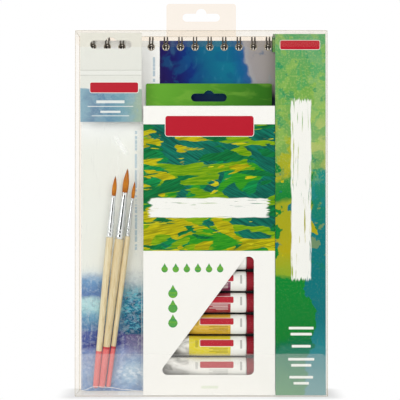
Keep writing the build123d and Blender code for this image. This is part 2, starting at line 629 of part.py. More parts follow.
def all_parts():
    """Every node of the set by name."""
    top_flaps_z = BOX_HEIGHT - SHEET - LEAF
    parts = {
        "clear_sleeve": clear_sleeve(),
        "hanger_panel": hanger_panel(),
        "bottom_lid": lid_panel(0),
        "bottom_lid_tuck": bottom_lid_tuck(),
        "top_lid": lid_panel(BOX_HEIGHT - SHEET),
        "top_lid_tuck": top_lid_tuck(),
        "dust_flap_bottom_left": dust_flap(-1, LEAF),
        "dust_flap_bottom_right": dust_flap(1, LEAF),
        "dust_flap_top_left": dust_flap(-1, top_flaps_z),
        "dust_flap_top_right": dust_flap(1, top_flaps_z),
        "pad_cover": pad_layer(PAD_FRONT_Y, COVER_THICKNESS),
        "pad_paper": pad_layer(PAD_FRONT_Y + COVER_THICKNESS, PAPER_THICKNESS),
        "pad_backboard": pad_layer(PAD_BACK_Y - BACKBOARD_THICKNESS, BACKBOARD_THICKNESS),
        "pad_binding": pad_binding(),
        "manual_cover": manual_cover(),
        "manual_pages": manual_pages(),
        "manual_staples": manual_staples(),
        "carton_shell": carton_shell(),
        "carton_top_flap": carton_closure(CARTON_TOP_Z, -1),
        "carton_bottom_flap": carton_closure(FLOOR_Z, 1),
        "tube_tray": tube_tray(),
        "side_card": side_card(),
        "pouch_film": pouch_film(),
        "pouch_header": pouch_header(),
    }
    for number, z in enumerate(tube_heights(), start=1):
        parts[f"tube_{number:02d}"] = paint_tube(z)
        parts[f"tube_cap_{number:02d}"] = tube_cap(z)
    for index in range(len(BRUSH_LEANS)):
        parts[f"brush_handle_{index + 1}"] = brush_handle(index)
        parts[f"brush_ferrule_{index + 1}"] = brush_ferrule(index)
        parts[f"brush_hair_{index + 1}"] = brush_hair(index)
    return parts


os.makedirs("parts", exist_ok=True)
for name, shape in all_parts().items():
    shape.label = name
    export_step(shape, f"parts/{name}.step")
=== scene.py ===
from math import cos, pi, radians, sin, sqrt

import bpy
from mathutils import Matrix, Vector, noise


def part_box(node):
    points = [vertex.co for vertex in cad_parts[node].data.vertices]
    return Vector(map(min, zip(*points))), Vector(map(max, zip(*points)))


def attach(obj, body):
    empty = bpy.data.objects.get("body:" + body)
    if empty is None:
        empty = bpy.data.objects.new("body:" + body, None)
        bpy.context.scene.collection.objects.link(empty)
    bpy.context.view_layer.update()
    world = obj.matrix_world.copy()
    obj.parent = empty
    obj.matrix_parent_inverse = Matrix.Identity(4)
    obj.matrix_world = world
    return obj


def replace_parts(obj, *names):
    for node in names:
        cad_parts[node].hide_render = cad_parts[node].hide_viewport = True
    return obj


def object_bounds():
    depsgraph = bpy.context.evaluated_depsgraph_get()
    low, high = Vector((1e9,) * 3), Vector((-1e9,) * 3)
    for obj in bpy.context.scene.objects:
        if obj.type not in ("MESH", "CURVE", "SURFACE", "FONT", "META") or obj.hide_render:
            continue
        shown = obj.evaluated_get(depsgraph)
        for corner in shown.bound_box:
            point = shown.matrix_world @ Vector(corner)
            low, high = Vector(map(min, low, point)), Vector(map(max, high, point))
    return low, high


# Looks of the clear box and of the gouache set in it. Lengths are in millimetres in the
# part's own frame, and in metres in the studio around it.

MM = 0.001
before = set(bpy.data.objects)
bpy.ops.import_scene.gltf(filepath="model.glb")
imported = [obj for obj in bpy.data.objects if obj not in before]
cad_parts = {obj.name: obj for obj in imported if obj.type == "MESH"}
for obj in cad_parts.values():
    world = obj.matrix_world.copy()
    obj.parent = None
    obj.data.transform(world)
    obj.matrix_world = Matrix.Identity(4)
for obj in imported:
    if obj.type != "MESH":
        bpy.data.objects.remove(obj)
cad_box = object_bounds()
scene = bpy.context.scene


def corners(node):
    """Lowest and highest corner of a CAD node, in millimetres."""
    return [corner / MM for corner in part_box(node)]


def srgb(red, green, blue):
    """Screen colour from 0 to 255 as the linear colour that shaders take."""
    line = [v / 255 for v in (red, green, blue)]
    line = [v / 12.92 if v <= 0.04045 else ((v + 0.055) / 1.055) ** 2.4 for v in line]
    return (*line, 1.0)


# --- materials: a small language over the shader nodes ---

def forward(operation):
    return lambda value, other: value.nodes.math(operation, value, other)


def backward(operation):
    return lambda value, other: value.nodes.math(operation, other, value)


class V:
    """A value in a node tree. Arithmetic on it adds nodes."""

    __add__ = forward("ADD")
    __radd__ = backward("ADD")
    __sub__ = forward("SUBTRACT")
    __rsub__ = backward("SUBTRACT")
    __mul__ = forward("MULTIPLY")
    __rmul__ = backward("MULTIPLY")
    __truediv__ = forward("DIVIDE")
    top = forward("MAXIMUM")
    least = forward("MINIMUM")

    def __init__(self, nodes, socket):
        self.nodes = nodes
        self.socket = socket

    def __abs__(self):
        return self.nodes.math("ABSOLUTE", self)


class Nodes:
    def __init__(self, owner):
        owner.use_nodes = True
        self.tree = owner.node_tree
        self.tree.nodes.clear()

    def put(self, socket, value):
        """Link or set a socket. A colour of three parts is a screen colour."""
        if isinstance(value, V):
            self.tree.links.new(value.socket, socket)
        elif value is not None:
            on_screen = socket.type == "RGBA" and len(value) == 3
            socket.default_value = srgb(*value) if on_screen else value

    def outputs(self, kind):
        """Outputs of a new node, as values by name."""
        node = self.tree.nodes.new("ShaderNode" + kind)
        return {socket.name: V(self, socket) for socket in node.outputs}

    def use(self, kind, inputs, output=0, **settings):
        """An output of a new node with its inputs by number or name."""
        node = self.tree.nodes.new("ShaderNode" + kind)
        for name, value in settings.items():
            setattr(node, name, value)
        for key, value in inputs.items():
            self.put(node.inputs[key], value)
        return V(self, node.outputs[output])

    def math(self, operation, a, b=None):
        return self.use("Math", {0: a, 1: b}, operation=operation)


class Paint(Nodes):
    def __init__(self, name):
        self.mat = bpy.data.materials.new(name)
        super().__init__(self.mat)
        self.out = self.tree.nodes.new("ShaderNodeOutputMaterial")
        coords = self.outputs("TexCoord")
        self.place = self.use("VectorMath", {0: coords["Object"], "Scale": 1 / MM}, operation="SCALE")
        self.x, self.y, self.z = self.split(self.place)
        self.backward = self.split(coords["Normal"])[1]

    def split(self, vector):
        node = self.tree.nodes.new("ShaderNodeSeparateXYZ")
        self.put(node.inputs[0], vector)
        return [V(self, socket) for socket in node.outputs]

    def step(self, value, start, end):
        """0 below start and 1 above end, smooth between them."""
        inputs = {"Value": value, "From Min": start, "From Max": end}
        return self.use("MapRange", inputs, interpolation_type="SMOOTHSTEP")

    def fade(self, value, start, end):
        """1 below start and 0 above end."""
        return 1.0 - self.step(value, start, end)

    def band(self, value, rise, fall):
        """1 between a rise and a fall."""
        return self.step(value, *rise) * self.fade(value, *fall)

    def ramp(self, value, stops):
        """Colour by value; a stop is a place and a screen colour's parts."""
        node = self.tree.nodes.new("ShaderNodeValToRGB")
        self.put(node.inputs[0], value)
        elements = node.color_ramp.elements
        while len(elements) < len(stops):
            elements.new(1.0)
        for element, (at, *colour) in zip(elements, stops):
            element.position = at
            element.color = srgb(*colour)
        return V(self, node.outputs[0])

    def mix(self, share, a, b):
        return self.use("Mix", {0: share, 6: a, 7: b}, 2, data_type="RGBA")

    def noise(self, size, detail=2.0, stretch=(1, 1, 1), twist=0.0, shift=(0, 0, 0), place=None):
        """Cloud pattern from 0 to 1, its grains about size millimetres wide."""
        moved = {0: place or self.place, 1: [1 / (size * s) for s in stretch], 2: shift}
        vector = self.use("VectorMath", moved, operation="MULTIPLY_ADD")
        return self.use("TexNoise", {"Vector": vector, "Scale": 1.0, "Detail": detail, "Distortion": twist})

    def reach(self, a, b):
        return self.math("SQRT", a * a + b * b)

    def panel(self, x0, x1, z0, z1, corner=0.0, soft=0.12, z=None):
        """1 inside a rounded rectangle, 0 outside; z can be another measure."""
        across = abs(self.x - (x0 + x1) / 2) - ((x1 - x0) / 2 - corner)
        up = abs((z or self.z) - (z0 + z1) / 2) - ((z1 - z0) / 2 - corner)
        out_x, out_z = across.top(0.0), up.top(0.0)
        gap = self.reach(out_x, out_z) + across.top(up).least(0.0) - corner
        return self.fade(gap, -soft, soft)

    def bump(self, height, strength, distance):
        return self.use("Bump", {"Strength": strength, "Distance": distance * MM, "Height": height})

    def shader(self, colour, roughness, normal=None, **others):
        """Principled shader; others are its sockets, with _ for a space."""
        inputs = {name.replace("_", " "): value for name, value in others.items()}
        inputs.update({"Base Color": colour, "Roughness": roughness, "Normal": normal})
        return self.use("BsdfPrincipled", inputs)

    def finish(self, shader):
        self.put(self.out.inputs[0], shader)
        return self.mat

    def opaque(self, *inputs, **others):
        return self.finish(self.shader(*inputs, **others))

    def see_through(self, shader, tint, share):
        """Finished clear sheet, share being the part of the shader."""
        clear = self.use("BsdfTransparent", {0: tint})
        return self.finish(self.use("MixShader", {0: share, 1: clear, 2: shader}))

    def gleam(self, strength):
        """Reflection that grows towards a glancing angle, alike on both sides of a sheet."""
        facing = self.use("LayerWeight", {0: 0.5}, "Facing")
        return self.math("POWER", facing, 5) * strength


INK_WHITE = (244, 244, 238)
RED_PLATE = (186, 24, 44)
TURNED_ASIDE, FACE_ON = 0.4, 0.7  # how far a face's normal points along Y


def clear_sheet(name, tint, haze, haze_colour, strength=0.12, wave=0.15, mirror=0.0):
    """Thin plastic. The share that isn't clear is milky, or a mirror where mirror is 1."""
    p = Paint(name)
    ripple = p.bump(p.noise(38, 1.0, twist=0.6), 0.25, wave)
    shader = p.shader(haze_colour, 0.07, ripple, Metallic=mirror, IOR=1.45)
    return p.see_through(shader, tint, (p.gleam(strength) + haze).least(1.0))


def two_tone(name, dark, light, roughness, grain, relief=None, ends=(0.3, 0.7), **others):
    """Material with a grain from a dark to a light tone, raised where relief is given."""
    p = Paint(name)
    pattern = p.noise(*grain)
    colour = p.ramp(pattern, [(ends[0], *dark), (ends[1], *light)])
    return p.opaque(colour, roughness, p.bump(pattern, *relief) if relief else None, **others)


def printed(p, colour, roughness, gloss):
    """Finished print on board with a faint fibre."""
    return p.opaque(colour, roughness, p.bump(p.noise(0.5, 3.0), 0.12, 0.03), IOR=gloss)


def front_and_back(p):
    """1 on faces that look to the front or back, 0 on cut edges."""
    return p.step(abs(p.backward), TURNED_ASIDE, FACE_ON)


def hairs(p, size, tilt=0.0, shift=(0, 0, 0)):
    """Fine ridges that a brush leaves, along X or turned by tilt."""
    place = p.use("Mapping", {"Vector": p.place, "Rotation": (0, radians(tilt), 0)})
    return p.step(p.noise(size, 3.0, (9, 1, 0.6), 0.5, shift, place), 0.3, 0.7)


def gouache(p, ground, layers, middle):
    """Thick daubs with crisp bristled edges; lean moves a colour to one side."""
    crisp, bristle = 0.008, 0.022
    for size, stretch, twist, shift, level, dark, light, tilt, lean in layers:
        ridges = hairs(p, 1.7, tilt, shift)
        field = p.noise(size, 2.4, stretch, twist, shift) + (ridges - 0.5) * bristle
        field = field + (p.x - middle[0]) * lean[0] + (p.z - middle[1]) * lean[1]
        tone = p.mix(ridges, dark, light)
        ground = p.mix(p.step(field, level - crisp, level + crisp), ground, tone)
    return ground


def mottle(p, ground, colour, size, level, share, shift=(0, 0, 0)):
    """Soft watery patches of a colour with a grainy edge."""
    soft = 0.03
    field = p.noise(size, 6.0, (1.1, 1, 0.9), 0.6, shift)
    return p.mix(p.step(field, level - soft, level + soft) * share, ground, colour)


def patches(p, ground, rows):
    """Patches of colour, each where a noise passes from start to end."""
    for share, grain, start, end, colour in rows:
        ground = p.mix(p.step(p.noise(*grain), start, end) * share, ground, colour)
    return ground


def drops(p, places, size, colour, ground):
    """Round drops with a point at the top, each at (x, z)."""
    soft = 0.12
    for at_x, at_z in places:
        across = abs(p.x - at_x)
        up = p.z - at_z
        body = p.reach(across, up) - size
        tip = (across * 1.9 + (up - size * 1.9)).top(0.2 - up - size * 0.2)
        ground = p.mix(p.fade(body.least(tip), -soft, soft), ground, colour)
    return ground


def plate(p, ground, x0, x1, z0, z1, corner, rim=0.45):
    ground = p.mix(p.panel(x0 - rim, x1 + rim, z0 - rim, z1 + rim, corner + rim), ground, INK_WHITE)
    return p.mix(p.panel(x0, x1, z0, z1, corner), ground, RED_PLATE)


def title_stroke(p, ground, a0, a1, b0, b1, upright=False):
    """Dry white stroke in a title's place, from a0 to a1 along and b0 to b1 across."""
    long, short = (p.z, p.x) if upright else (p.x, p.z)
    streaks = p.noise(1.7, 3.0, (0.5, 1, 16) if upright else (16, 1, 0.5), 0.3)
    half_long, half_short = (a1 - a0) / 2, (b1 - b0) / 2
    wobble = (p.noise(16, 2.0) - 0.5) * 3
    off = abs(short + wobble - (b0 + b1) / 2)
    inside = p.fade(off, half_short - 1.0, half_short)
    from_middle = abs(long - (a0 + a1) / 2) + (streaks - 0.5) * 12
    ends = p.fade(from_middle, half_long - 3.0, half_long - 1.0)
    dry = p.step(streaks - off * 0.006, 0.29, 0.34)
    return p.mix(inside * ends * dry, ground, INK_WHITE)


# --- meshes ---

def add(name, data):
    obj = bpy.data.objects.new(name, data)
    scene.collection.objects.link(obj)
    return obj


def riding(name, data, body, material):
    """Piece that rides on a CAD body."""
    data.materials.clear()
    data.materials.append(material)
    obj = add(name, data)
    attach(obj, body)
    return obj


def solid(name, points, faces, body, material, slot, along=None):
    """Smooth piece, whose points can carry heights along a brush."""
    mesh = bpy.data.meshes.new(name)
    mesh.from_pydata([Vector(p) * MM for p in points], [], faces)
    mesh.validate()
    mesh.update()
    if along:
        mesh.attributes.new("along", "FLOAT", "POINT").data.foreach_set("value", along)
    mesh.shade_smooth()
    return riding(name, mesh, body, material)


def turns(count):
    return [2 * pi * k / count for k in range(count)]


def skin(rings, caps=True):
    """Points and faces of a skin over rings of as many points each."""
    count = len(rings[0])
    points = [p for ring in rings for p in ring]
    faces = []
    for i in range(len(rings) - 1):
        for k in range(count):
            a, b = i * count + k, i * count + (k + 1) % count
            faces.append((a, b, b + count, a + count))
    if caps:
        faces.append(tuple(range(count - 1, -1, -1)))
        faces.append(tuple(range(len(points) - count, len(points))))
    return points, faces


def sharpen(obj):
    """Keeps edges sharper than 50 degrees crisp on a smooth mesh."""
    obj.data.set_sharp_from_angle(angle=radians(50))
    return obj


def ease(t):
    """0 to 1 with a soft start and end."""
    t = min(max(t, 0.0), 1.0)
    return t * t * (3 - 2 * t)


def flow(knots, count):
    """Smooth line of count points through (radius, height) knots."""
    slopes = []
    for k in range(len(knots)):
        a, b = knots[max(k - 1, 0)], knots[min(k + 1, len(knots) - 1)]
        slopes.append((b[0] - a[0]) / (b[1] - a[1]))
    line = []
    for i in range(count):
        t = i / (count - 1) * (len(knots) - 1)
        k = min(int(t), len(knots) - 2)
        u = t - k
        (r0, z0), (r1, z1) = knots[k], knots[k + 1]
        rise = z1 - z0
        radius = r0 + (3 * u**2 - 2 * u**3) * (r1 - r0)
        radius += ((u**3 - 2 * u**2 + u) * slopes[k] + (u**3 - u**2) * slopes[k + 1]) * rise
        line.append((radius, z0 + u * rise))
    return line


def add_line(curve, points, closed):
    spline = curve.splines.new("POLY")
    spline.points.add(len(points) - 1)
    for target, point in zip(spline.points, points):
        target.co = (*(Vector(point) * MM), 1)
    spline.use_cyclic_u = closed
    spline.use_smooth = True


def wire(name, points, radius, body, material, slot, closed=False, sides=1):
    curve = bpy.data.curves.new(name, "CURVE")
    curve.dimensions = "3D"
    curve.bevel_depth = radius * MM
    curve.bevel_resolution = sides
    curve.use_fill_caps = True
    add_line(curve, points, closed)
    return riding(name, curve, body, material)


def clear_wire(*inputs, **options):
    return clear_of_shadow(wire(*inputs, **options))


def cut_plate(name, outlines, y_front, thick, body, material, edge=0.06):
    """Flat sheet facing the front, cut to outlines of (x, z) points, holes included."""
    curve = bpy.data.curves.new(name, "CURVE")
    curve.dimensions = "2D"
    curve.fill_mode = "BOTH"
    curve.extrude = (thick / 2 - edge) * MM
    curve.bevel_depth = edge * MM
    curve.offset = -edge * MM
    for outline in outlines:
        add_line(curve, [(x, z, 0) for x, z in outline], True)
    helper = add(name + "_curve", curve)
    bpy.context.view_layer.update()
    mesh = bpy.data.meshes.new_from_object(helper.evaluated_get(bpy.context.evaluated_depsgraph_get()))
    bpy.data.objects.remove(helper)
    upright = Matrix(((1, 0, 0, 0), (0, 0, -1, (y_front + thick / 2) * MM), (0, 1, 0, 0), (0, 0, 0, 1)))
    mesh.transform(upright)
    return riding(name, mesh, body, material)


def rounded(x0, x1, z0, z1, radius, count=6):
    line = []
    x0, x1, z0, z1 = x0 + radius, x1 - radius, z0 + radius, z1 - radius
    for x, z, start in ((x1, z1, 0), (x0, z1, 90), (x0, z0, 180), (x1, z0, 270)):
        for i in range(count + 1):
            turn = radians(start + 90 * i / count)
            line.append((x + radius * cos(turn), z + radius * sin(turn)))
    return line


def dress(nodes, material):
    for name in nodes:
        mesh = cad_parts[name].data
        mesh.materials.clear()
        mesh.materials.append(material)


def clear_of_shadow(obj):
    """Thin clear pieces cast no shadow on what they hold."""
    obj.visible_shadow = False
    obj.visible_diffuse = False
    return obj


# --- the clear box ---

SHEET_TINT = (0.995, 0.992, 0.984, 1)
WALL = clear_sheet("clear_wall", SHEET_TINT, 0.002, (252, 251, 244), 0.6, mirror=1.0)
LID = clear_sheet("clear_lid", SHEET_TINT, 0.002, (252, 246, 236))
PANEL = clear_sheet("clear_panel", (0.984, 0.945, 0.9, 1), 0.006, (250, 240, 226))
TOP_TUCK = clear_sheet("clear_top_tuck", (0.99, 0.978, 0.96, 1), 0.018, (252, 240, 224))
BOTTOM_TUCK = clear_sheet("clear_bottom_tuck", (0.994, 0.992, 0.99, 1), 0.076, (252, 250, 246))
EDGE = clear_sheet("clear_edge", (0.965, 0.94, 0.9, 1), 0.34, (222, 212, 194), wave=0.02)
# Creases on the card's side get a painted olive tint, standing in for the card's green seen through them.
EDGE_PAINTED_CARD_GREEN = clear_sheet("clear_edge_by_card", (0.93, 0.9, 0.8, 1), 0.5, (196, 186, 146), wave=0.02)

OTHER_SHEETS = {"hanger_panel": PANEL, "top_lid_tuck": TOP_TUCK, "bottom_lid_tuck": BOTTOM_TUCK}
SLEEVE = corners("clear_sleeve")
CORNER_ROUND = 0.9
WALL_ROWS = 12
RIM_RADIUS, CREASE_RADIUS, LID_CREASE_RADIUS = 0.25, 0.22, 0.24
EDGE_INSET = 0.3
CREASE_SHORT = 0.5


def box_walls():
    """Sleeve, one sheet bent at its four corners."""
    a, b = SLEEVE
    ring = rounded(a.x, b.x, a.y, b.y, CORNER_ROUND)
    heights = [a.z + (b.z - a.z) * i / WALL_ROWS for i in range(WALL_ROWS + 1)]
    rings = [[(x, y, z) for x, y in ring] for z in heights]
    obj = solid("box_walls", *skin(rings, caps=False), "root", WALL, "clear_sheet")
    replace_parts(clear_of_shadow(sharpen(obj)), "clear_sleeve")


def box_edges():
    """Cut edges and creases, where the clear sheet looks denser."""
    a, b = SLEEVE
    x0, x1, y0, y1 = a.x + EDGE_INSET, b.x - EDGE_INSET, a.y + EDGE_INSET, b.y - EDGE_INSET
    for label, z in (("top", b.z - RIM_RADIUS), ("foot", a.z + RIM_RADIUS)):
        line = [(x0, y0, z), (x1, y0, z), (x1, y1, z), (x0, y1, z)]
        clear_wire("box_rim_" + label, line, RIM_RADIUS, "root", EDGE, "clear_sheet", closed=True)
    for label, x, y in (("fl", x0, y0), ("fr", x1, y0), ("bl", x0, y1), ("br", x1, y1)):
        line = [(x, y, a.z + CREASE_SHORT), (x, y, b.z - CREASE_SHORT)]
        # The creases on the card's side take the painted tint of the card's green.
        material = EDGE if x == x0 else EDGE_PAINTED_CARD_GREEN
        clear_wire("box_crease_" + label, line, CREASE_RADIUS, "root", material, "clear_sheet")


def lid_creases():
    """Rolled crease where each lid bends into its tuck."""
    for end, z in (("top", corners("top_lid")[1].z - EDGE_INSET), ("bottom", EDGE_INSET)):
        body = end + "_lid"
        a, b = corners(body + "_tuck")
        y = a.y + RIM_RADIUS
        line = [(a.x + CREASE_SHORT, y, z), (b.x - CREASE_SHORT, y, z)]
        clear_wire("lid_crease_" + end, line, LID_CREASE_RADIUS, body, EDGE, "clear_sheet")


for sheet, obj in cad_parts.items():
    if sheet.startswith(("hanger", "top_lid", "bottom_lid", "dust_flap")):
        dress([sheet], OTHER_SHEETS.get(sheet, LID))
        clear_of_shadow(obj)
box_walls()
box_edges()
lid_creases()


# --- the pad ---

PAD = corners("pad_cover")
PAD_CORNER = 1.5
LOOP_COUNT = 16
LOOP_PITCH = 12.7
LOOPS = [(PAD[0].x + PAD[1].x) / 2 + (i - (LOOP_COUNT - 1) / 2) * LOOP_PITCH for i in range(LOOP_COUNT)]
RINGS = corners("pad_binding")
RING_Y = (RINGS[0].y + RINGS[1].y) / 2
RING_OUTER = (RINGS[1].y - RINGS[0].y) / 2
RING_Z = (RINGS[0].z + RINGS[1].z) / 2
HOLE_Z = 299.17
HOLE_RADIUS = 2.75
WIRE_RADIUS = 0.58
WIRE_HALF_PAIR = 1.3  # half the distance between a loop's two wires
LOOP_START, LOOP_SWEEP = -37, 372  # degrees, from the back over the top
LOOP_STEPS = 32
CLOSING_STEPS = 8  # over which a loop's two wires draw together at its end
EVEN = (1, 1, 1)
SMALL_PRINT = [(-57.6, -55.6, 118.6, 229.6), (-42.0, -40.0, 266.0, 290.4)]


def from_hole(p):
    """Distance from the middle of the nearest punched hole."""
    aside = p.math("PINGPONG", p.x - (LOOPS[0] - LOOP_PITCH * 4), LOOP_PITCH / 2)
    up = p.z - HOLE_Z
    return p.reach(aside, up)


def pad_sky(p, drift, ragged):
    across = (p.x + drift * 34 + ragged * 2.2 + (p.z - 280) * 0.25 + 36) / 110
    sky = p.ramp(across, [
        (0.0, 30, 14, 84), (0.14, 14, 16, 94), (0.24, 0, 44, 118), (0.34, 0, 92, 128),
        (0.52, 0, 112, 138), (0.6, 6, 92, 142), (0.64, 40, 92, 146), (0.675, 164, 161, 164),
        (0.72, 158, 152, 152), (1.0, 162, 154, 148),
    ])
    sky = mottle(p, sky, (0, 84, 130), 22, 0.58, 0.5)
    sky = patches(p, sky, [(0.16, (7, 4.0, (1, 1, 2.2), 0.3), 0.55, 0.75, (90, 170, 190))])
    night = p.fade(p.z + drift * 20, 256, 266) * 0.9
    return p.mix(night, sky, (0, 18, 52))


def pad_sea(p, drift, ragged):
    """Painted water, pale on the left and broken blues on the right."""
    level = (p.z + drift * 11 + ragged) / 112
    left = p.ramp(level, [
        (0.0, 92, 132, 184), (0.14, 140, 168, 206), (0.3, 140, 158, 202), (0.345, 84, 92, 156),
        (0.36, 58, 60, 136), (0.46, 64, 70, 146), (0.475, 84, 126, 166), (0.59, 104, 160, 190),
        (0.64, 176, 218, 222), (0.7, 182, 218, 222), (0.735, 92, 124, 176), (0.85, 112, 156, 198),
        (0.97, 214, 228, 232),
    ])
    right = p.ramp(level, [
        (0.0, 92, 132, 184), (0.1, 146, 180, 210), (0.18, 168, 196, 216), (0.24, 112, 150, 192),
        (0.3, 140, 142, 176), (0.37, 112, 108, 146), (0.44, 96, 84, 130), (0.455, 10, 78, 112),
        (0.58, 0, 96, 132), (0.72, 6, 126, 152), (0.78, 120, 166, 180), (0.85, 190, 202, 204),
        (0.98, 222, 226, 222),
    ])
    facets = p.band(p.z, (50, 56), (84, 94))
    right = patches(p, right, [
        (facets * 0.6, (3.4, 4.0, (1.5, 1, 0.8), 1.0), 0.53, 0.57, (96, 190, 206)),
        (facets * 0.7, (5, 4.0, EVEN, 0.0, (5, 0, 5)), 0.55, 0.59, (0, 62, 96)),
    ])
    sea = p.mix(p.step(p.x + drift * 30, -72, -64), left, right)
    sea = mottle(p, sea, (84, 116, 176), 22, 0.6, 0.35, (2, 0, 7))
    sea = mottle(p, sea, (236, 242, 240), 3.2, 0.54, 0.16, (4, 0, 4))
    sea = mottle(p, sea, (40, 74, 120), 4.4, 0.57, 0.22, (9, 0, 2))
    foam = p.panel(-74, -46, 12, 22, 5, 4) * 0.75
    return patches(p, sea, [(foam, (2.2, 5.0, (1.8, 1, 0.8), 0.6), 0.5, 0.58, (228, 238, 242))])


def pad_art():
    """Printed cover: a white margin, washes of blue above and a painted sea below."""
    p = Paint("pad_cover_print")
    drift = p.noise(42, 3.0, (1.2, 1, 1.1), 0.8) - 0.5
    ragged = (p.noise(7, 5.0) - 0.5) * 4
    # Painted light: the paper is whiter towards the top, offsetting the shade that the pouch's header casts
    # on the margin beside it.
    paper = p.mix(p.step(p.z, 205, 240), (238, 239, 231), (255, 255, 252))
    past_margin = p.step(p.x + ragged * 0.12, -36.3, -35.9)
    upper = p.mix(past_margin, paper, pad_sky(p, drift, ragged))
    above_shore = p.step(p.z + drift * 12 + ragged, 94, 112)
    art = p.mix(above_shore, pad_sea(p, drift, ragged), upper)
    breaks = p.step(p.noise(2.2, 3.0, (9, 9, 1)), 0.42, 0.48)
    for bar in SMALL_PRINT:
        art = p.mix(p.panel(*bar, 0.3) * breaks * 0.55, art, (120, 168, 196))
    cut = p.fade(from_hole(p), HOLE_RADIUS + 0.35, HOLE_RADIUS + 0.55)
    art = p.mix(cut, art, (180, 168, 140))
    art = p.mix(front_and_back(p), (238, 236, 228), art)
    return printed(p, art, 0.42, 1.25)


def leaf_stack():
    """Edges of sheets, with painted shade inside the punched holes."""
    p = Paint("paper_leaves")
    lines = p.noise(1.0, 1.0, (60, 0.12, 60))
    colour = p.ramp(lines, [(0.3, 214, 211, 203), (0.6, 243, 241, 234)])
    # Painted shade: the sheets turn dark inside the punched holes, where little light reaches.
    inside = p.fade(from_hole(p), HOLE_RADIUS + 0.15, HOLE_RADIUS + 0.35)
    colour = p.mix(inside * 0.85, colour, (70, 62, 50))
    return p.opaque(colour, 0.8, p.bump(lines, 0.3, 0.06), IOR=1.3)


GREY_BOARD = two_tone(
    "grey_board", (150, 146, 138), (180, 176, 168), 0.85, (0.9, 4.0, (1, 0.3, 2)), (0.3, 0.05), IOR=1.3,
)
BINDING_COAT = two_tone(
    "binding_coat", (46, 40, 33), (74, 65, 54), 0.48, (3, 3.0), (0.1, 0.02), (0.35, 0.75), Metallic=0.35,
)


def pad_cover():
    outlines = [rounded(PAD[0].x, PAD[1].x, PAD[0].z, PAD[1].z, PAD_CORNER)]
    for x in LOOPS:
        circle = [(cos(turn), sin(turn)) for turn in turns(36)]
        outlines.append([(x + HOLE_RADIUS * c, HOLE_Z + HOLE_RADIUS * s) for c, s in circle])
    obj = cut_plate("pad_front", outlines, PAD[0].y, PAD[1].y - PAD[0].y, "root", pad_art())
    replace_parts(obj, "pad_cover")


def pad_binding():
    """Twin-loop wire, one long wire bent to and fro."""
    reach = RING_OUTER - WIRE_RADIUS
    line = []
    for x in LOOPS:
        rise, fall = [], []
        for i in range(LOOP_STEPS + 1):
            turn = radians(LOOP_START + LOOP_SWEEP * i / LOOP_STEPS)
            y, z = RING_Y + reach * cos(turn), RING_Z + reach * sin(turn)
            spread = WIRE_HALF_PAIR * min(1.0, (LOOP_STEPS + 1 - i) / CLOSING_STEPS) ** 0.5
            rise.append((x - spread, y, z))
            fall.append((x + spread, y, z))
        line += rise + fall[::-1]
    obj = wire("pad_wire", line, WIRE_RADIUS, "root", BINDING_COAT, "binding_wire", sides=3)
    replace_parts(obj, "pad_binding")


pad_cover()
pad_binding()
dress(["pad_paper"], leaf_stack())
dress(["pad_backboard"], GREY_BOARD)


# --- the manual ---

MANUAL_BARS = [(262, 92), (250, 120), (244, 112), (238, 104)]  # height and length


def manual_print():
    """Pale cover with a soft green wash along its foot."""
    p = Paint("manual_print")
    drift = p.noise(36, 3.0, (1.6, 1, 0.8), 0.6) - 0.5
    level = (p.z + drift * 40) / 298
    wash = p.ramp(level, [
        (0.02, 30, 120, 110), (0.14, 70, 160, 120), (0.24, 150, 200, 150), (0.32, 232, 238, 228),
        (0.4, 243, 243, 238),
    ])
    strokes = p.fade(p.z, 60, 100) * 0.4
    wash = patches(p, wash, [(strokes, (4, 4.0, (7, 1, 0.6), 0.4), 0.55, 0.72, (220, 232, 214))])
    for height, length in MANUAL_BARS:
        wash = p.mix(p.panel(-length / 2, length / 2, height, height + 2.0, 0.6), wash, (176, 188, 180))
    return printed(p, wash, 0.4, 1.35)


STAPLE = two_tone(
    "staple_metal", (170, 170, 172), (205, 205, 206), 0.32, (0.6, 2.0, (1, 1, 5)), (0.1, 0.02),
    Metallic=1.0,
)

dress(["manual_cover"], manual_print())
dress(["manual_pages"], leaf_stack())
dress(["manual_staples"], STAPLE)


# --- the carton ---

CARTON = corners("carton_shell")
CARTON_TITLE = (CARTON[0].x + 3.2, CARTON[1].x - 3.4, 150.8, 168.2)
CARTON_PLATE = (-30.4, 44.4, 220.3, 237.4, 2.2)
SMALL_DROPS = [(-31 + 9.4 * i, 107.5) for i in range(6)]
LARGE_DROPS = [(-24.0, 62 + 12.5 * i) for i in range(3)]
DAUBS = [
    (40, (1.3, 1, 0.9), 0.8, (3, 0, 1), 0.46, (0, 104, 52), (8, 150, 76), 20, (0.0, 0.0008)),
    (46, (1.1, 1, 1.0), 0.6, (9, 0, 4), 0.52, (0, 76, 66), (10, 122, 98), -30, (0.0012, 0.0012)),
    (30, (1.7, 1, 0.7), 1.0, (5, 0, 8), 0.56, (78, 140, 0), (140, 176, 10), 8, (-0.0006, -0.0012)),
    (34, (1.5, 1, 0.6), 1.0, (1, 0, 5), 0.56, (140, 138, 0), (200, 190, 4), 12, (-0.0006, -0.0014)),
    (20, (2.0, 1, 0.5), 0.8, (7, 0, 2), 0.6, (0, 88, 44), (4, 124, 62), 25, (0.0, 0.0)),
    (14, (2.4, 1, 0.5), 0.8, (2, 0, 9), 0.65, (176, 174, 0), (212, 204, 30), 10, (0.0, -0.0008)),
]


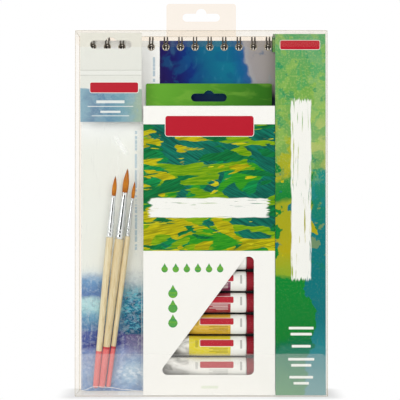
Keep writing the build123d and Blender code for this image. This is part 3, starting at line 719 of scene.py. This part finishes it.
def carton_print():
    """White board with a painting in greens and blank places for plate and title."""
    p = Paint("carton_print")
    left, right = CARTON[0].x, CARTON[1].x
    ground = p.mix(hairs(p, 1.6, 10), (16, 128, 26), (62, 160, 26))
    painting = gouache(p, ground, DAUBS, ((left + right) / 2, 176.0))
    zone = p.band(p.z, (122.9, 123.2), (230.2, 230.5))
    colour = p.mix(zone, (247, 246, 241), painting)
    colour = title_stroke(p, colour, *CARTON_TITLE)
    colour = plate(p, colour, *CARTON_PLATE)
    leaf = p.mix(hairs(p, 3), (62, 152, 84), (112, 176, 60))
    colour = drops(p, SMALL_DROPS, 2.7, leaf, colour)
    colour = drops(p, LARGE_DROPS, 3.9, leaf, colour)
    tab = p.ramp((p.x - left) / (right - left), [(0.1, 102, 170, 48), (0.9, 50, 114, 24)])
    tab = patches(p, tab, [(0.3, (7, 3.0, (3, 1, 1), 0.6), 0.5, 0.7, (140, 190, 70))])
    above_body = p.step(p.z, 245.9, 246.1)
    colour = p.mix(above_body, colour, tab)
    bar = p.panel(0.0, 14.4, 6.6, 9.0, 0.6) * 0.35
    colour = p.mix(bar, colour, (190, 212, 160))
    colour = p.mix(p.step(p.backward * -1.0, TURNED_ASIDE, FACE_ON), (244, 243, 238), colour)
    return printed(p, colour, 0.34, 1.25)


TRAY_PLASTIC = two_tone("tray_plastic", (14, 14, 15), (26, 26, 28), 0.45, (0.35, 3.0), (0.2, 0.03))

dress(["carton_shell", "carton_top_flap", "carton_bottom_flap"], carton_print())
dress(["tube_tray"], TRAY_PLASTIC)


# --- the tubes and their caps ---

TUBE_COLOURS = [
    ((240, 239, 232), "white"), ((222, 206, 30), "lemon"), ((214, 172, 16), "golden"),
    ((160, 24, 44), "crimson"), ((116, 22, 70), "plum"), ((206, 208, 206), "pearl"),
    ((30, 112, 66), "leaf"), ((14, 112, 122), "teal"), ((34, 120, 186), "sky"),
    ((28, 40, 128), "ultramarine"), ((116, 62, 34), "umber"), ((26, 26, 28), "black"),
]
TUBE_Y = -6.95  # depth of the axes
TUBE_RADIUS = 8.4
TUBE_TILT = 38
TUBE_SIDES = 48
NECK_LENGTH = 8.0
NECK_RADIUS = 4.0
FOLD_LENGTH = 5.0
FOLD_THICK = 0.9
FOLD_WIDE = pi * TUBE_RADIUS / 2 - FOLD_THICK
ROUND_LENGTH = 40.0  # from where the tube is fully round to its shoulder
SWELL_STEPS = 16
LABEL_START, BAND_START = -10.35, 24.9
BADGE = (-1.0, 27.4, 0.5, 6.2)  # along the tube and around it
TUBE_PRINT = [(6.6, 22.6, -1.6), (9.8, 22.6, -3.0), (6.6, 22.6, -4.4), (12.4, 22.6, -5.8)]
DARK_LABEL = 0.6  # sum of its colour's parts below which a label's print is pale


def tube_material(colour, name, middle):
    """Bare metal by the fold, with painted shade and glints along its creases, then a label of the paint's
    colour and a white band.
    """
    p = Paint("tube_" + name)
    creases = p.noise(7, 3.0, (2.2, 0.8, 0.8), 0.9)
    fine = p.noise(1.4, 2.0, (3, 1, 1))
    # Painted shade and glints: the metal's tone follows the crease relief, darker in its hollows and brighter
    # on its ridges.
    metal = p.ramp(creases, [(0.3, 176, 175, 168), (0.5, 238, 236, 230), (0.7, 252, 252, 248)])
    label = p.step(p.x + (fine - 0.5) * 0.2, LABEL_START - 0.15, LABEL_START + 0.15)
    band = p.step(p.x, BAND_START - 0.12, BAND_START + 0.12)
    face = p.mix(p.step(fine, 0.3, 0.7) * 0.08, colour, (255, 255, 255))
    face = p.mix(band, face, INK_WHITE)
    arc = p.math("ARCTAN2", p.z - middle, p.y * -1.0 + TUBE_Y) * TUBE_RADIUS
    x0, x1, z0, z1 = BADGE
    for grow, ink in ((0.4, INK_WHITE), (0.0, RED_PLATE)):
        badge = p.panel(x0 - grow, x1 + grow, z0 - grow, z1 + grow, 1.0, 0.12, arc)
        face = p.mix(badge, face, ink)
    linear = srgb(*colour)[:3]
    ink = (226, 222, 214) if sum(linear) < DARK_LABEL else (*[0.42 * part for part in linear], 1.0)
    for x0, x1, z0 in TUBE_PRINT:
        face = p.mix(p.panel(x0, x1, z0, z0 + 0.7, 0.2, 0.1, arc) * 0.7, face, ink)
    face = p.mix(p.panel(-5.0, -2.8, -0.5, 5.5, 0.3, 0.15, arc) * 0.55, face, ink)
    face = p.mix(p.panel(33.0, 34.6, -1.5, 6.0, 0.3, 0.15, arc) * 0.6, face, (120, 116, 112))
    shade = p.mix(label, metal, face)
    relief = p.bump(creases * 0.8 + fine * 0.1, 0.5, 0.7)
    return p.opaque(shade, 0.3 + label * 0.06, relief, Metallic=(1.0 - label) * 0.4)


def tube_dent(number, x, point):
    """Depth of a squeezed tube's dents, different on each tube."""
    dip = noise.noise(Vector((x * 0.09 + number * 7, point.y * 0.12, point.z * 0.12)))
    return dip - 0.4 * abs(noise.noise(Vector((x * 0.2 + number * 3, point.z * 0.3, point.y * 0.2))))


def tube_mesh(number, middle_z):
    """Soft tube: a folded flat end that swells to a round shoulder, with its neck."""
    node = f"tube_{number:02d}"
    crimp_x, neck_x = [corner.x for corner in corners(node)]
    shoulder_x = neck_x - NECK_LENGTH
    fold_end = crimp_x + FOLD_LENGTH
    swell_start = fold_end + 0.35
    round_start = shoulder_x - ROUND_LENGTH
    tilt = radians(TUBE_TILT)
    wide = Vector((0, -sin(tilt), cos(tilt)))
    thin = Vector((0, cos(tilt), sin(tilt)))
    rings = []

    def ring(x, half_wide, half_thin, power=1.0, dent=0.0):
        line = []
        for turn in turns(TUBE_SIDES):
            c, s = cos(turn), sin(turn)
            c = abs(c) ** power * (1 if c >= 0 else -1)
            s = abs(s) ** power * (1 if s >= 0 else -1)
            point = Vector((x, TUBE_Y, middle_z)) + wide * c * half_wide + thin * s * half_thin
            if dent:
                point += (thin * s + wide * c * 0.3) * tube_dent(number, x, point) * dent
            line.append(point)
        rings.append(line)

    ring(crimp_x, FOLD_WIDE - 0.2, 0.7, 0.45)
    ring(crimp_x + 0.25, FOLD_WIDE, FOLD_THICK, 0.45)
    for i in range(4):
        ring(crimp_x + 0.9 + i * 1.1, FOLD_WIDE, 0.82 if i % 2 else FOLD_THICK, 0.45)
    ring(fold_end, FOLD_WIDE, FOLD_THICK, 0.5)
    ring(swell_start, FOLD_WIDE - 0.25, 0.55, 0.6)
    for i in range(1, SWELL_STEPS + 1):
        t = i / SWELL_STEPS
        half_thin = 0.75 + (TUBE_RADIUS - 0.75) * sin(t * pi / 2) ** 0.92
        half_thin = min(half_thin, 0.9 + (TUBE_RADIUS - 0.9) * t + 0.5 * sin(t * pi))
        half_wide = sqrt(max(2 * TUBE_RADIUS**2 - half_thin**2, TUBE_RADIUS**2)) * 0.985 + 0.015 * TUBE_RADIUS
        half_wide = min(half_wide, FOLD_WIDE + (TUBE_RADIUS - FOLD_WIDE) * t + 0.25)
        x = swell_start + (round_start - swell_start) * t
        ring(x, half_wide, half_thin, 1.0, 0.5 * (1 - t) * min(t * 5, 1))
    for x in (round_start + 10, round_start + 20, round_start + 30, shoulder_x - 1.2):
        ring(x, TUBE_RADIUS, TUBE_RADIUS)
    for i in range(1, 5):
        turn = radians(90 * i / 4)
        rounding = TUBE_RADIUS - 1.0 + cos(turn)
        ring(shoulder_x - 1.0 + sin(turn), rounding, rounding)
    for x, radius in ((shoulder_x, NECK_RADIUS), (neck_x - 0.4, NECK_RADIUS), (neck_x, NECK_RADIUS - 0.4)):
        ring(x, radius, radius)
    material = tube_material(*TUBE_COLOURS[number - 1], middle_z)
    obj = solid(f"paint_{number:02d}", *skin(rings), "paint_carton", material, "tube_metal")
    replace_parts(sharpen(obj), node)


CAP_PLASTIC = two_tone("cap_plastic", (136, 18, 34), (156, 24, 42), 0.38, (0.8, 2.0), (0.1, 0.02), IOR=1.35)
CAP_RADIUS = 8.1
CAP_RIDGES = 30
CAP_SIDES = CAP_RIDGES * 6
RIDGE_DEPTH = 0.32


def cap_profile(length):
    """Rings of a cap: distance from its foot, radius, and share of the ridges' depth."""
    steps = [
        (0.0, 0.5, 0), (0.25, 0.1, 0), (0.6, 0.0, 0), (1.5, 0.05, 0), (1.9, 0.1, 1), (5.0, 0.25, 1),
        (9.0, 0.42, 1), (12.6, 0.6, 1), (13.2, 0.72, 0.4), (13.9, 0.95, 0), (length - 0.45, 1.25, 0),
        (length - 0.12, 1.7, 0), (length, 2.3, 0),
    ]
    wall = [(x, CAP_RADIUS - inset, deep) for x, inset, deep in steps]
    return [(0.0, 4.6, 0)] + wall + [(length, 3.2, 0), (length - 0.35, 2.6, 0), (length - 0.35, 0.4, 0)]


def cap_mesh(number, middle_z):
    node = f"tube_cap_{number:02d}"
    foot_x, end_x = [corner.x for corner in corners(node)]
    rings = []
    for x, radius, deep in cap_profile(end_x - foot_x):
        ring = []
        for turn in turns(CAP_SIDES):
            r = radius - RIDGE_DEPTH * deep * (0.5 - 0.5 * cos(CAP_RIDGES * turn)) ** 2
            ring.append((foot_x + x, TUBE_Y + r * cos(turn), middle_z + r * sin(turn)))
        rings.append(ring)
    obj = solid(f"cap_{number:02d}_ridged", *skin(rings), f"cap_{number:02d}", CAP_PLASTIC, "red_plastic")
    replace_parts(sharpen(obj), node)


for tube in range(1, 13):
    a, b = corners(f"tube_cap_{tube:02d}")
    axis_z = (a.z + b.z) / 2
    tube_mesh(tube, axis_z)
    cap_mesh(tube, axis_z)


# --- the printed card ---

CARD_LEFT = corners("side_card")[0].x
CARD_TITLE = (97.0, 253.0, 75.6, 93.6)
CARD_PLATE = (67.0, 100.5, 293.9, 301.5, 1.4, 0.35)
LIST_MIDDLE = 84.6
LIST_BARS = [  # height and half length
    (57.7, 10.5), (52.6, 9.0), (42.4, 8.0), (31.4, 11.0), (26.3, 8.5), (16.2, 10.0), (11.1, 6.5),
]


def card_print():
    """Washes of green, olive and teal with blank places for title and text."""
    p = Paint("card_print")
    drift = p.noise(30, 4.0, (1.1, 1, 1), 0.9) - 0.5
    ragged = (p.noise(5, 5.0) - 0.5) * 5
    level = (p.z + drift * 34 + ragged) / 307
    left = p.ramp(level, [
        (0.02, 96, 150, 110), (0.12, 40, 122, 96), (0.14, 0, 110, 70), (0.17, 0, 122, 44),
        (0.325, 0, 132, 48), (0.335, 140, 168, 40), (0.4, 176, 164, 10), (0.52, 160, 164, 26),
        (0.535, 10, 128, 50), (0.6, 40, 138, 56), (0.61, 168, 166, 24), (0.7, 160, 172, 40),
        (0.76, 120, 168, 80), (0.84, 112, 168, 74), (0.97, 92, 162, 100),
    ])
    right = p.ramp(level, [
        (0.02, 110, 156, 160), (0.13, 30, 130, 138), (0.2, 0, 110, 118), (0.46, 0, 118, 120),
        (0.62, 30, 138, 126), (0.63, 176, 186, 104), (0.72, 170, 188, 108), (0.78, 140, 182, 96),
        (0.97, 100, 166, 110),
    ])
    edge = p.step(p.x + drift * 40 + ragged * 0.6, 90.8, 91.4)
    upper = p.step(p.z, 172, 200)
    middle = p.band(p.z, (104, 112), (196, 210)) * (1.0 - edge * 0.7)
    wash = patches(p, p.mix(edge, left, right), [
        (upper * 0.6, (17, 5.0, (1, 1, 1.2), 0.8), 0.49, 0.55, (66, 160, 96)),
        (upper * 0.5, (9, 5.0, EVEN, 0.0, (4, 0, 4)), 0.54, 0.6, (152, 188, 84)),
        (upper * 0.6, (13, 4.0, EVEN, 0.0, (8, 0, 1)), 0.6, 0.64, (20, 140, 92)),
        (middle, (18, 4.0, EVEN, 0.0, (6, 0, 3)), 0.6, 0.62, (0, 126, 50)),
        (middle, (22, 4.0, EVEN, 0.0, (1, 0, 8)), 0.64, 0.66, (0, 112, 114)),
        (middle, (11, 4.0, EVEN, 0.0, (2, 0, 6)), 0.62, 0.64, (190, 180, 10)),
        (upper * 0.26 + 0.04, (1.6, 5.0), 0.52, 0.6, (190, 204, 120)),
    ])
    # Painted shade: a dark strip along the card's left edge, for the shade in the narrow gap beside the
    # carton.
    wash = p.mix(p.fade(p.x, CARD_LEFT + 0.7, CARD_LEFT + 1.0) * 0.75, wash, (8, 44, 36))
    wash = title_stroke(p, wash, *CARD_TITLE, upright=True)
    wash = plate(p, wash, *CARD_PLATE)
    for height, half in LIST_BARS:
        bar = p.panel(LIST_MIDDLE - half, LIST_MIDDLE + half, height - 1.1, height + 1.1, 0.5)
        wash = p.mix(bar, wash, INK_WHITE)
    colour = p.mix(front_and_back(p), (226, 232, 222), wash)
    return printed(p, colour, 0.34, 1.25)


dress(["side_card"], card_print())


# --- the pouch, whose heights are measured along it ---

HEADER = corners("pouch_header")
POUCH_MID = (HEADER[0].x + HEADER[1].x) / 2
POUCH_HALF = (HEADER[1].x - HEADER[0].x) / 2
POUCH_LEAN = 2.977
TO_POUCH = Matrix.Translation((POUCH_MID, 1.6, 1.6)) @ Matrix.Rotation(radians(POUCH_LEAN), 4, "X")
HEADER_FOOT = 231.5
FILM_FOOT, FILM_HEIGHT = 0.2, 270.8
FILM_ROWS, FILM_COLUMNS = 96, 40
FILM_HALF, SEAM_HALF = 4.7, 0.3  # half the thickness at the fullest and at the seams
# Place and direction of a painted glint along one fold of the film.
FOLD_START = (-76.0, 224.0)
FOLD_WAY = (0.546, -0.838)  # the fold's direction across and up
FOOT_SEAM = [(-1.0, 0.6), (-0.57, 4.6), (-0.1, 4.2), (0.4, 2.4), (1.0, 0.4)]  # share across, and height
SEAM_STEPS = 40
HEADER_PLATE = (-94.6, -53.7, 257.6, 266.2, 1.6)
HEADER_BARS = [(248.6, 12.0, 2.4), (245.6, 19.5, 0.6), (240.4, 8.6, 1.8), (237.6, 16.0, 0.6)]


def film_material():
    p = Paint("pouch_film_clear")
    folds = p.noise(16, 3.0, (0.7, 1, 2.4), 1.2)
    shader = p.shader((252, 253, 252), 0.12, p.bump(folds, 0.5, 0.9), IOR=1.45)
    # Painted glints and reflections: in these masks more of the milky shader shows, as bright streaks on the
    # film and along a fold.
    glint = p.step(p.noise(9, 2.0, (0.35, 1, 5.0), 0.8), 0.64, 0.74) * 0.12
    painted_streaks = p.step(p.noise(0.7, 1.0, (1, 1, 90)), 0.56, 0.66) * p.panel(-99.0, -94.0, 50, 110, 2, 6)
    aside, up = p.x - FOLD_START[0], p.z - FOLD_START[1]
    along = aside * FOLD_WAY[0] + up * FOLD_WAY[1]
    off = abs(up * FOLD_WAY[0] - aside * FOLD_WAY[1])
    fold = p.fade(off, 0.0, 3.6) * p.band(along, (0, 12), (18, 25))
    share = (p.gleam(0.3) + 0.01 + glint + painted_streaks * 0.22 + fold * 0.34).least(1.0)
    return p.see_through(shader, (0.985, 0.99, 0.99, 1), share)


def film_half(u, z, side):
    """Half the wavy pouch's thickness at height z and at u from -1 to 1 across it."""
    swell = ease(z / 16) * 0.5 + 0.5 * min(z / 6, 1.0) ** 0.5
    swell *= 1 - ease((z - (HEADER_FOOT - 19)) / 17)
    fullness = swell * max(1 - abs(u) ** 6, 0.0) ** 0.45
    wave = noise.noise(Vector((u * 2.2, z * 0.045, side * 3.1))) * 0.5
    wave += noise.noise(Vector((u * 7.0, z * 0.11, side * 5.7))) * 0.18
    inset = (wave * 0.9 - 0.25) * fullness
    half = SEAM_HALF + (FILM_HALF - SEAM_HALF) * fullness
    return max(half + min(inset, 0.0), SEAM_HALF)


def pouch_film():
    """Pillow of film round the brushes, flat at its seams and in the header."""
    points, faces = [], []
    for side in (-1, 1):
        start = len(points)
        for i in range(FILM_ROWS + 1):
            z = FILM_FOOT + FILM_HEIGHT * i / FILM_ROWS
            for k in range(FILM_COLUMNS + 1):
                u = -1 + 2 * k / FILM_COLUMNS
                points.append(TO_POUCH @ Vector((u * (POUCH_HALF - 0.05), side * film_half(u, z, side), z)))
        for i in range(FILM_ROWS):
            for k in range(FILM_COLUMNS):
                a = start + i * (FILM_COLUMNS + 1) + k
                quad = (a, a + 1, a + FILM_COLUMNS + 2, a + FILM_COLUMNS + 1)
                faces.append(quad if side < 0 else quad[::-1])
    obj = solid("pouch_pillow", points, faces, "root", film_material(), "clear_film")
    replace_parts(clear_of_shadow(obj), "pouch_film")


def seam_material():
    p = Paint("pouch_seam")
    ridges = p.noise(1.0, 1.0)
    shader = p.shader((252, 252, 250), 0.25, p.bump(ridges, 0.3, 0.05))
    return p.see_through(shader, (0.98, 0.99, 0.99, 1), 0.3 + ridges * 0.9)


def pouch_seams():
    foot = []
    for i in range(SEAM_STEPS + 1):
        u = -1 + 2 * i / SEAM_STEPS
        k = max(j for j in range(len(FOOT_SEAM) - 1) if FOOT_SEAM[j][0] <= u)
        (u0, rise0), (u1, rise1) = FOOT_SEAM[k], FOOT_SEAM[k + 1]
        rise = rise0 + (rise1 - rise0) * ease((u - u0) / (u1 - u0))
        foot.append(TO_POUCH @ Vector((u * (POUCH_HALF - 0.4), -3.9 * (1 - abs(u) ** 3) - 0.3, rise)))
    clear_wire("pouch_foot_seam", foot, 0.28, "root", seam_material(), "clear_film")
    for side, name in ((-1, "left"), (1, "right")):
        line = [TO_POUCH @ Vector((side * (POUCH_HALF - 0.3), 0, z)) for z in (0.8, 120, 232)]
        clear_wire("pouch_side_seam_" + name, line, 0.16, "root", seam_material(), "clear_film")


def header_print():
    """White card with a blue band, a blank red plate and pressed weld lines, with painted shade in their
    grooves.
    """
    p = Paint("header_print")
    drift = p.noise(12, 3.0, (2, 1, 0.8), 0.8) - 0.5
    along = (p.x + drift * 18 - POUCH_MID) / 54 + 0.5
    blues = p.ramp(along, [
        (0.05, 134, 170, 186), (0.2, 106, 138, 164), (0.42, 92, 136, 164), (0.7, 112, 158, 172),
        (0.95, 156, 178, 158),
    ])
    blues = mottle(p, blues, (136, 172, 186), 8, 0.54, 0.45)
    blues = patches(p, blues, [(0.25, (0.7, 3.0), 0.5, 0.62, (190, 206, 206))])
    colour = p.mix(p.fade(p.z + drift * 7, 259.4, 261.0), (227, 228, 220), blues)
    for height, half, rise in HEADER_BARS:
        bar = p.panel(POUCH_MID - 0.5 - half, POUCH_MID - 0.5 + half, height, height + rise, 0.3)
        colour = p.mix(bar * 0.8, colour, INK_WHITE)
    colour = plate(p, colour, *HEADER_PLATE)
    weld = p.panel(-110, -40, 272.9, 275.8) * 0.5
    colour = p.mix(weld, colour, (236, 237, 232))
    # Painted shade: the pressed lines are sunk by the bump and also painted darker.
    press = p.panel(-110, -40, 272.0, 272.5, soft=0.25) + p.panel(-110, -40, 276.3, 276.8, soft=0.25)
    colour = p.mix(press * 0.35, colour, (150, 150, 146))
    colour = p.mix(front_and_back(p), (240, 240, 234), colour)
    relief = p.noise(0.5, 3.0) * 0.06 - press
    return p.opaque(colour, 0.36, p.bump(relief, 0.5, 0.25), IOR=1.3)


pouch_film()
pouch_seams()
dress(["pouch_header"], header_print())


# --- the brushes ---

BRUSH_RISE = 3.0
BRUSH_FEET = [(-14.15, -1.2, 5.6), (-8.92, 0.0, 6.94), (-3.49, 1.5, 7.54)]  # across, behind, lean
BRUSH_LENGTHS = [(130.6, 35.8, 16.8), (129.4, 40.2, 20.4), (131.8, 33.0, 14.3)]  # handle, ferrule, hair
BRUSH_WIDTHS = [  # at the foot, the belly, the ferrule's mouth, its neck and its tip
    (4.9, 6.1, 5.8, 5.5, 3.7), (5.5, 7.8, 7.5, 7.2, 4.8), (4.0, 5.0, 4.4, 4.2, 2.9),
]
DIPS = [(32.4, False), (36.0, True), (36.2, True)]  # height of the red dip, and whether it ends in a ring
WOOD_DEPTH = [0.08, 0.36, 0.3]
GROOVE = [(0.0, -0.75), (0.22, -0.35), (0.3, 0.0), (0.22, 0.35), (0.0, 0.75)]  # depth, and place along
GROOVE_PITCH = 3.0
TAPER_STEPS = 20


def turned(kind, index, line, material, slot, count=40, wave=None):
    """Round piece about a brush's axis through (radius, height) points."""
    number = index + 1
    across, behind, lean = BRUSH_FEET[index]
    foot = Matrix.Translation((across, behind, BRUSH_RISE))
    place = TO_POUCH @ foot @ Matrix.Rotation(radians(lean), 4, "Y")
    rings, along = [], []
    for radius, height in line:
        ring = []
        for turn in turns(count):
            r = radius * (1 + (wave(turn, height) if wave else 0))
            ring.append(place @ Vector((r * cos(turn), r * sin(turn), height)))
            along.append(height)
        rings.append(ring)
    obj = solid(f"{kind}_{number}", *skin(rings), f"brush_{number}", material, slot, along)
    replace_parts(sharpen(obj), f"brush_{kind}_{number}")


def height_along(p):
    return p.use("Attribute", {}, "Fac", attribute_name="along")


def handle_material(index):
    p = Paint(f"handle_wood_{index + 1}")
    along = height_along(p)
    grain = p.noise(1.2, 4.0, (0.8, 0.8, 26), 0.3, (index * 3, 0, 0))
    pores = p.noise(0.35, 2.0, (1, 1, 34), shift=(0, index * 5, 0))
    wood = p.ramp(grain, [(0.3, 214, 193, 144), (0.5, 233, 218, 178), (0.72, 244, 235, 206)])
    wood = p.mix(WOOD_DEPTH[index], wood, (200, 170, 112))
    wood = p.mix(p.step(pores, 0.6, 0.75) * 0.22, wood, (186, 152, 100))
    top, ring = DIPS[index]
    dip = p.mix(p.step(grain, 0.4, 0.6) * 0.3, (228, 108, 108), (240, 150, 142))
    if ring:
        dip = p.mix(p.step(along, top - 2.4, top - 1.6), dip, (196, 58, 66))
    colour = p.mix(p.step(along, top - 0.2, top + 0.2), dip, wood)
    relief = p.bump(pores, 0.12, 0.03)
    return p.opaque(colour, 0.4, relief, Coat_Weight=0.3, Coat_Roughness=0.15, IOR=1.3)


DRAWN = (0.7, 2.0, (1, 1, 22))
FERRULE = two_tone("ferrule_metal", (214, 217, 218), (238, 240, 239), 0.14, DRAWN, Metallic=1.0)


def hair_material(index):
    p = Paint(f"brush_hair_{index + 1}")
    strands = p.noise(0.22, 2.0, (1, 1, 40), 0.1)
    handle, ferrule, hair = BRUSH_LENGTHS[index]
    shade = p.ramp((height_along(p) - (handle + ferrule)) / hair, [
        (0.0, 176, 96, 8), (0.35, 218, 138, 34), (0.75, 198, 112, 20), (1.0, 140, 72, 22),
    ])
    colour = p.mix(p.step(strands, 0.38, 0.62) * 0.45, shade, (136, 68, 4))
    return p.opaque(colour, 0.6, p.bump(strands, 0.8, 0.2), IOR=1.25)


def strand_waves(turn, height):
    return 0.035 * sin(turn * 13 + height * 0.5) + 0.02 * sin(turn * 29 - height)


def handle_line(index):
    foot, belly, mouth = [w / 2 for w in BRUSH_WIDTHS[index][:3]]
    handle = BRUSH_LENGTHS[index][0]
    belly_z = handle * 0.78
    knots = [
        (0.3 * foot, 0.02), (0.85 * foot, 0.7), (foot, 2.4), ((foot + belly) / 2 * 0.99, belly_z * 0.6),
        (belly, belly_z), (mouth * 0.5 + belly * 0.5, handle * 0.92), (mouth, handle),
    ]
    return flow(knots, 44)


def ferrule_line(index):
    """Metal sleeve with two pressed grooves, then an even taper to a rolled lip."""
    neck, tip = [w / 2 for w in BRUSH_WIDTHS[index][3:]]
    handle, ferrule = BRUSH_LENGTHS[index][:2]
    end = handle + ferrule
    groove = handle + 0.1 * ferrule
    line = [(neck * 0.94, handle - 0.02), (neck, handle + 0.3)]
    for middle in (groove, groove + GROOVE_PITCH):
        line += [(neck - depth, middle + along) for depth, along in GROOVE]
    taper_z = groove + GROOVE_PITCH + 1.0
    taper = end - 1.2 - taper_z
    for i in range(TAPER_STEPS + 1):
        line.append((neck + (tip - neck) * i / TAPER_STEPS, taper_z + taper * i / TAPER_STEPS))
    return line + [(tip + 0.08, end - 0.9), (tip + 0.08, end - 0.1), (tip - 0.1, end)]


def hair_line(index):
    root = BRUSH_WIDTHS[index][4] / 2 - 0.12
    handle, ferrule, hair = BRUSH_LENGTHS[index]
    end = handle + ferrule
    shape = [(1.08, 0.18), (1.12, 0.34), (0.95, 0.56), (0.62, 0.76), (0.28, 0.92)]
    knots = [(root * wide, end + hair * up) for wide, up in shape]
    return flow([(root * 0.96, end - 0.2)] + knots + [(0.08, end + hair)], 30)


for one in range(3):
    turned("handle", one, handle_line(one), handle_material(one), "handle_wood")
    turned("ferrule", one, ferrule_line(one), FERRULE, "ferrule_metal")
    turned("hair", one, hair_line(one), hair_material(one), "brush_hair", 60, strand_waves)


# --- floor, light and camera, in metres ---

FLOOR_REACH, FLOOR_DROP = 6.0, 0.0002
SURROUND_LIGHT = 0.44  # strength of the white surround as a light
LAMP_AIM = Vector((0, 0, 0.16))
FLAG_X, FLAG_Y, FLAG_Z = (-0.7, 0.45), -1.2, (-0.5, 1.0)
CAMERA_BEFORE = 0.9523  # in front of the pack, fitted to the photo as the values below are
CAMERA_X, CAMERA_Z = -0.00072, 0.15787
CAMERA_TURN = (90.4967, 0, 0.02)
SENSOR_WIDTH = 36.0
FOCAL_PIXELS, PHOTO_PIXELS = 1125.3, 400


def stage_sheet(name, outline, material):
    mesh = bpy.data.meshes.new(name)
    mesh.from_pydata(outline, [], [(0, 1, 2, 3)])
    mesh.materials.append(material)
    obj = add(name, mesh)
    return obj


def studio_floor():
    """Pale floor that fades to white away from the object's shadow."""
    p = Paint("studio_floor")
    aside, ahead = (abs(p.x) - 107.0).top(0.0), (abs(p.y) - 17.0).top(0.0)
    away = p.reach(aside, ahead)
    weave = p.noise(3, 2.0)
    tone = p.ramp(weave, [(0.3, 249, 249, 248), (0.7, 252, 252, 251)])
    cloth = p.shader(tone, 0.7, p.bump(weave, 0.05, 0.05))
    rays = p.outputs("LightPath")
    seen = rays["Is Camera Ray"].top(rays["Is Glossy Ray"])
    # Painted light: seen by the camera or in reflections the floor glows white, at half strength even beside
    # the object, which lightens its shadow.
    share = seen * (0.5 + p.step(away, 0, 18) * 0.5)
    material = p.finish(p.use("MixShader", {0: share, 1: cloth, 2: p.use("Emission", {})}))
    r = FLOOR_REACH
    outline = [(x, y, -FLOOR_DROP) for x, y in ((-r, -r), (r, -r), (r, r), (-r, r))]
    stage_sheet("studio_floor", outline, material)


def surround():
    """White world, dimmer as a light than as it is seen or mirrored."""
    world = bpy.data.worlds.new("studio_world")
    scene.world = world
    nodes = Nodes(world)
    rays = nodes.outputs("LightPath")
    seen = rays["Is Camera Ray"].top(rays["Is Transmission Ray"]).top(rays["Is Glossy Ray"])
    strength = nodes.use("MapRange", {"Value": seen, "To Min": SURROUND_LIGHT, "To Max": 1.0})
    background = nodes.use("Background", {"Color": (1, 1, 1, 1), "Strength": strength})
    out = nodes.tree.nodes.new("ShaderNodeOutputWorld")
    nodes.put(out.inputs[0], background)


def softbox(name, place, size, power):
    lamp = bpy.data.lights.new(name, "AREA")
    lamp.shape = "RECTANGLE"
    lamp.size, lamp.size_y = size
    lamp.energy = power
    obj = add(name, lamp)
    obj.location = place
    obj.rotation_euler = (LAMP_AIM - Vector(place)).to_track_quat("-Z", "Y").to_euler()
    return obj


def flag():
    """Dark card, seen only as a reflection."""
    material = two_tone("studio_flag", (20, 20, 21), (34, 34, 36), 0.9, (60, 2.0))
    (x0, x1), (z0, z1) = FLAG_X, FLAG_Z
    outline = [(x, FLAG_Y, z) for x, z in ((x0, z0), (x1, z0), (x1, z1), (x0, z1))]
    obj = stage_sheet("studio_flag", outline, material)
    for ray in ("camera", "diffuse", "transmission", "shadow"):
        setattr(obj, "visible_" + ray, False)


def camera():
    data = bpy.data.cameras.new("camera")
    data.sensor_width = SENSOR_WIDTH
    data.lens = SENSOR_WIDTH * FOCAL_PIXELS / PHOTO_PIXELS
    data.clip_start = 0.02
    obj = add("camera", data)
    obj.location = (CAMERA_X, cad_box[0][1] - CAMERA_BEFORE, CAMERA_Z)
    obj.rotation_euler = [radians(turn) for turn in CAMERA_TURN]
    bpy.context.scene.camera = obj


studio_floor()
surround()
softbox("key_light", (-0.9, -1.6, 0.35), (1.1, 1.2), 12)
front = softbox("front_light", (0.35, -2.3, 0.22), (1.2, 1.2), 22.5)
front.visible_glossy = False
flag()
camera()
bpy.context.scene.view_settings.view_transform = "Standard"
scene.cycles.transparent_max_bounces = 24
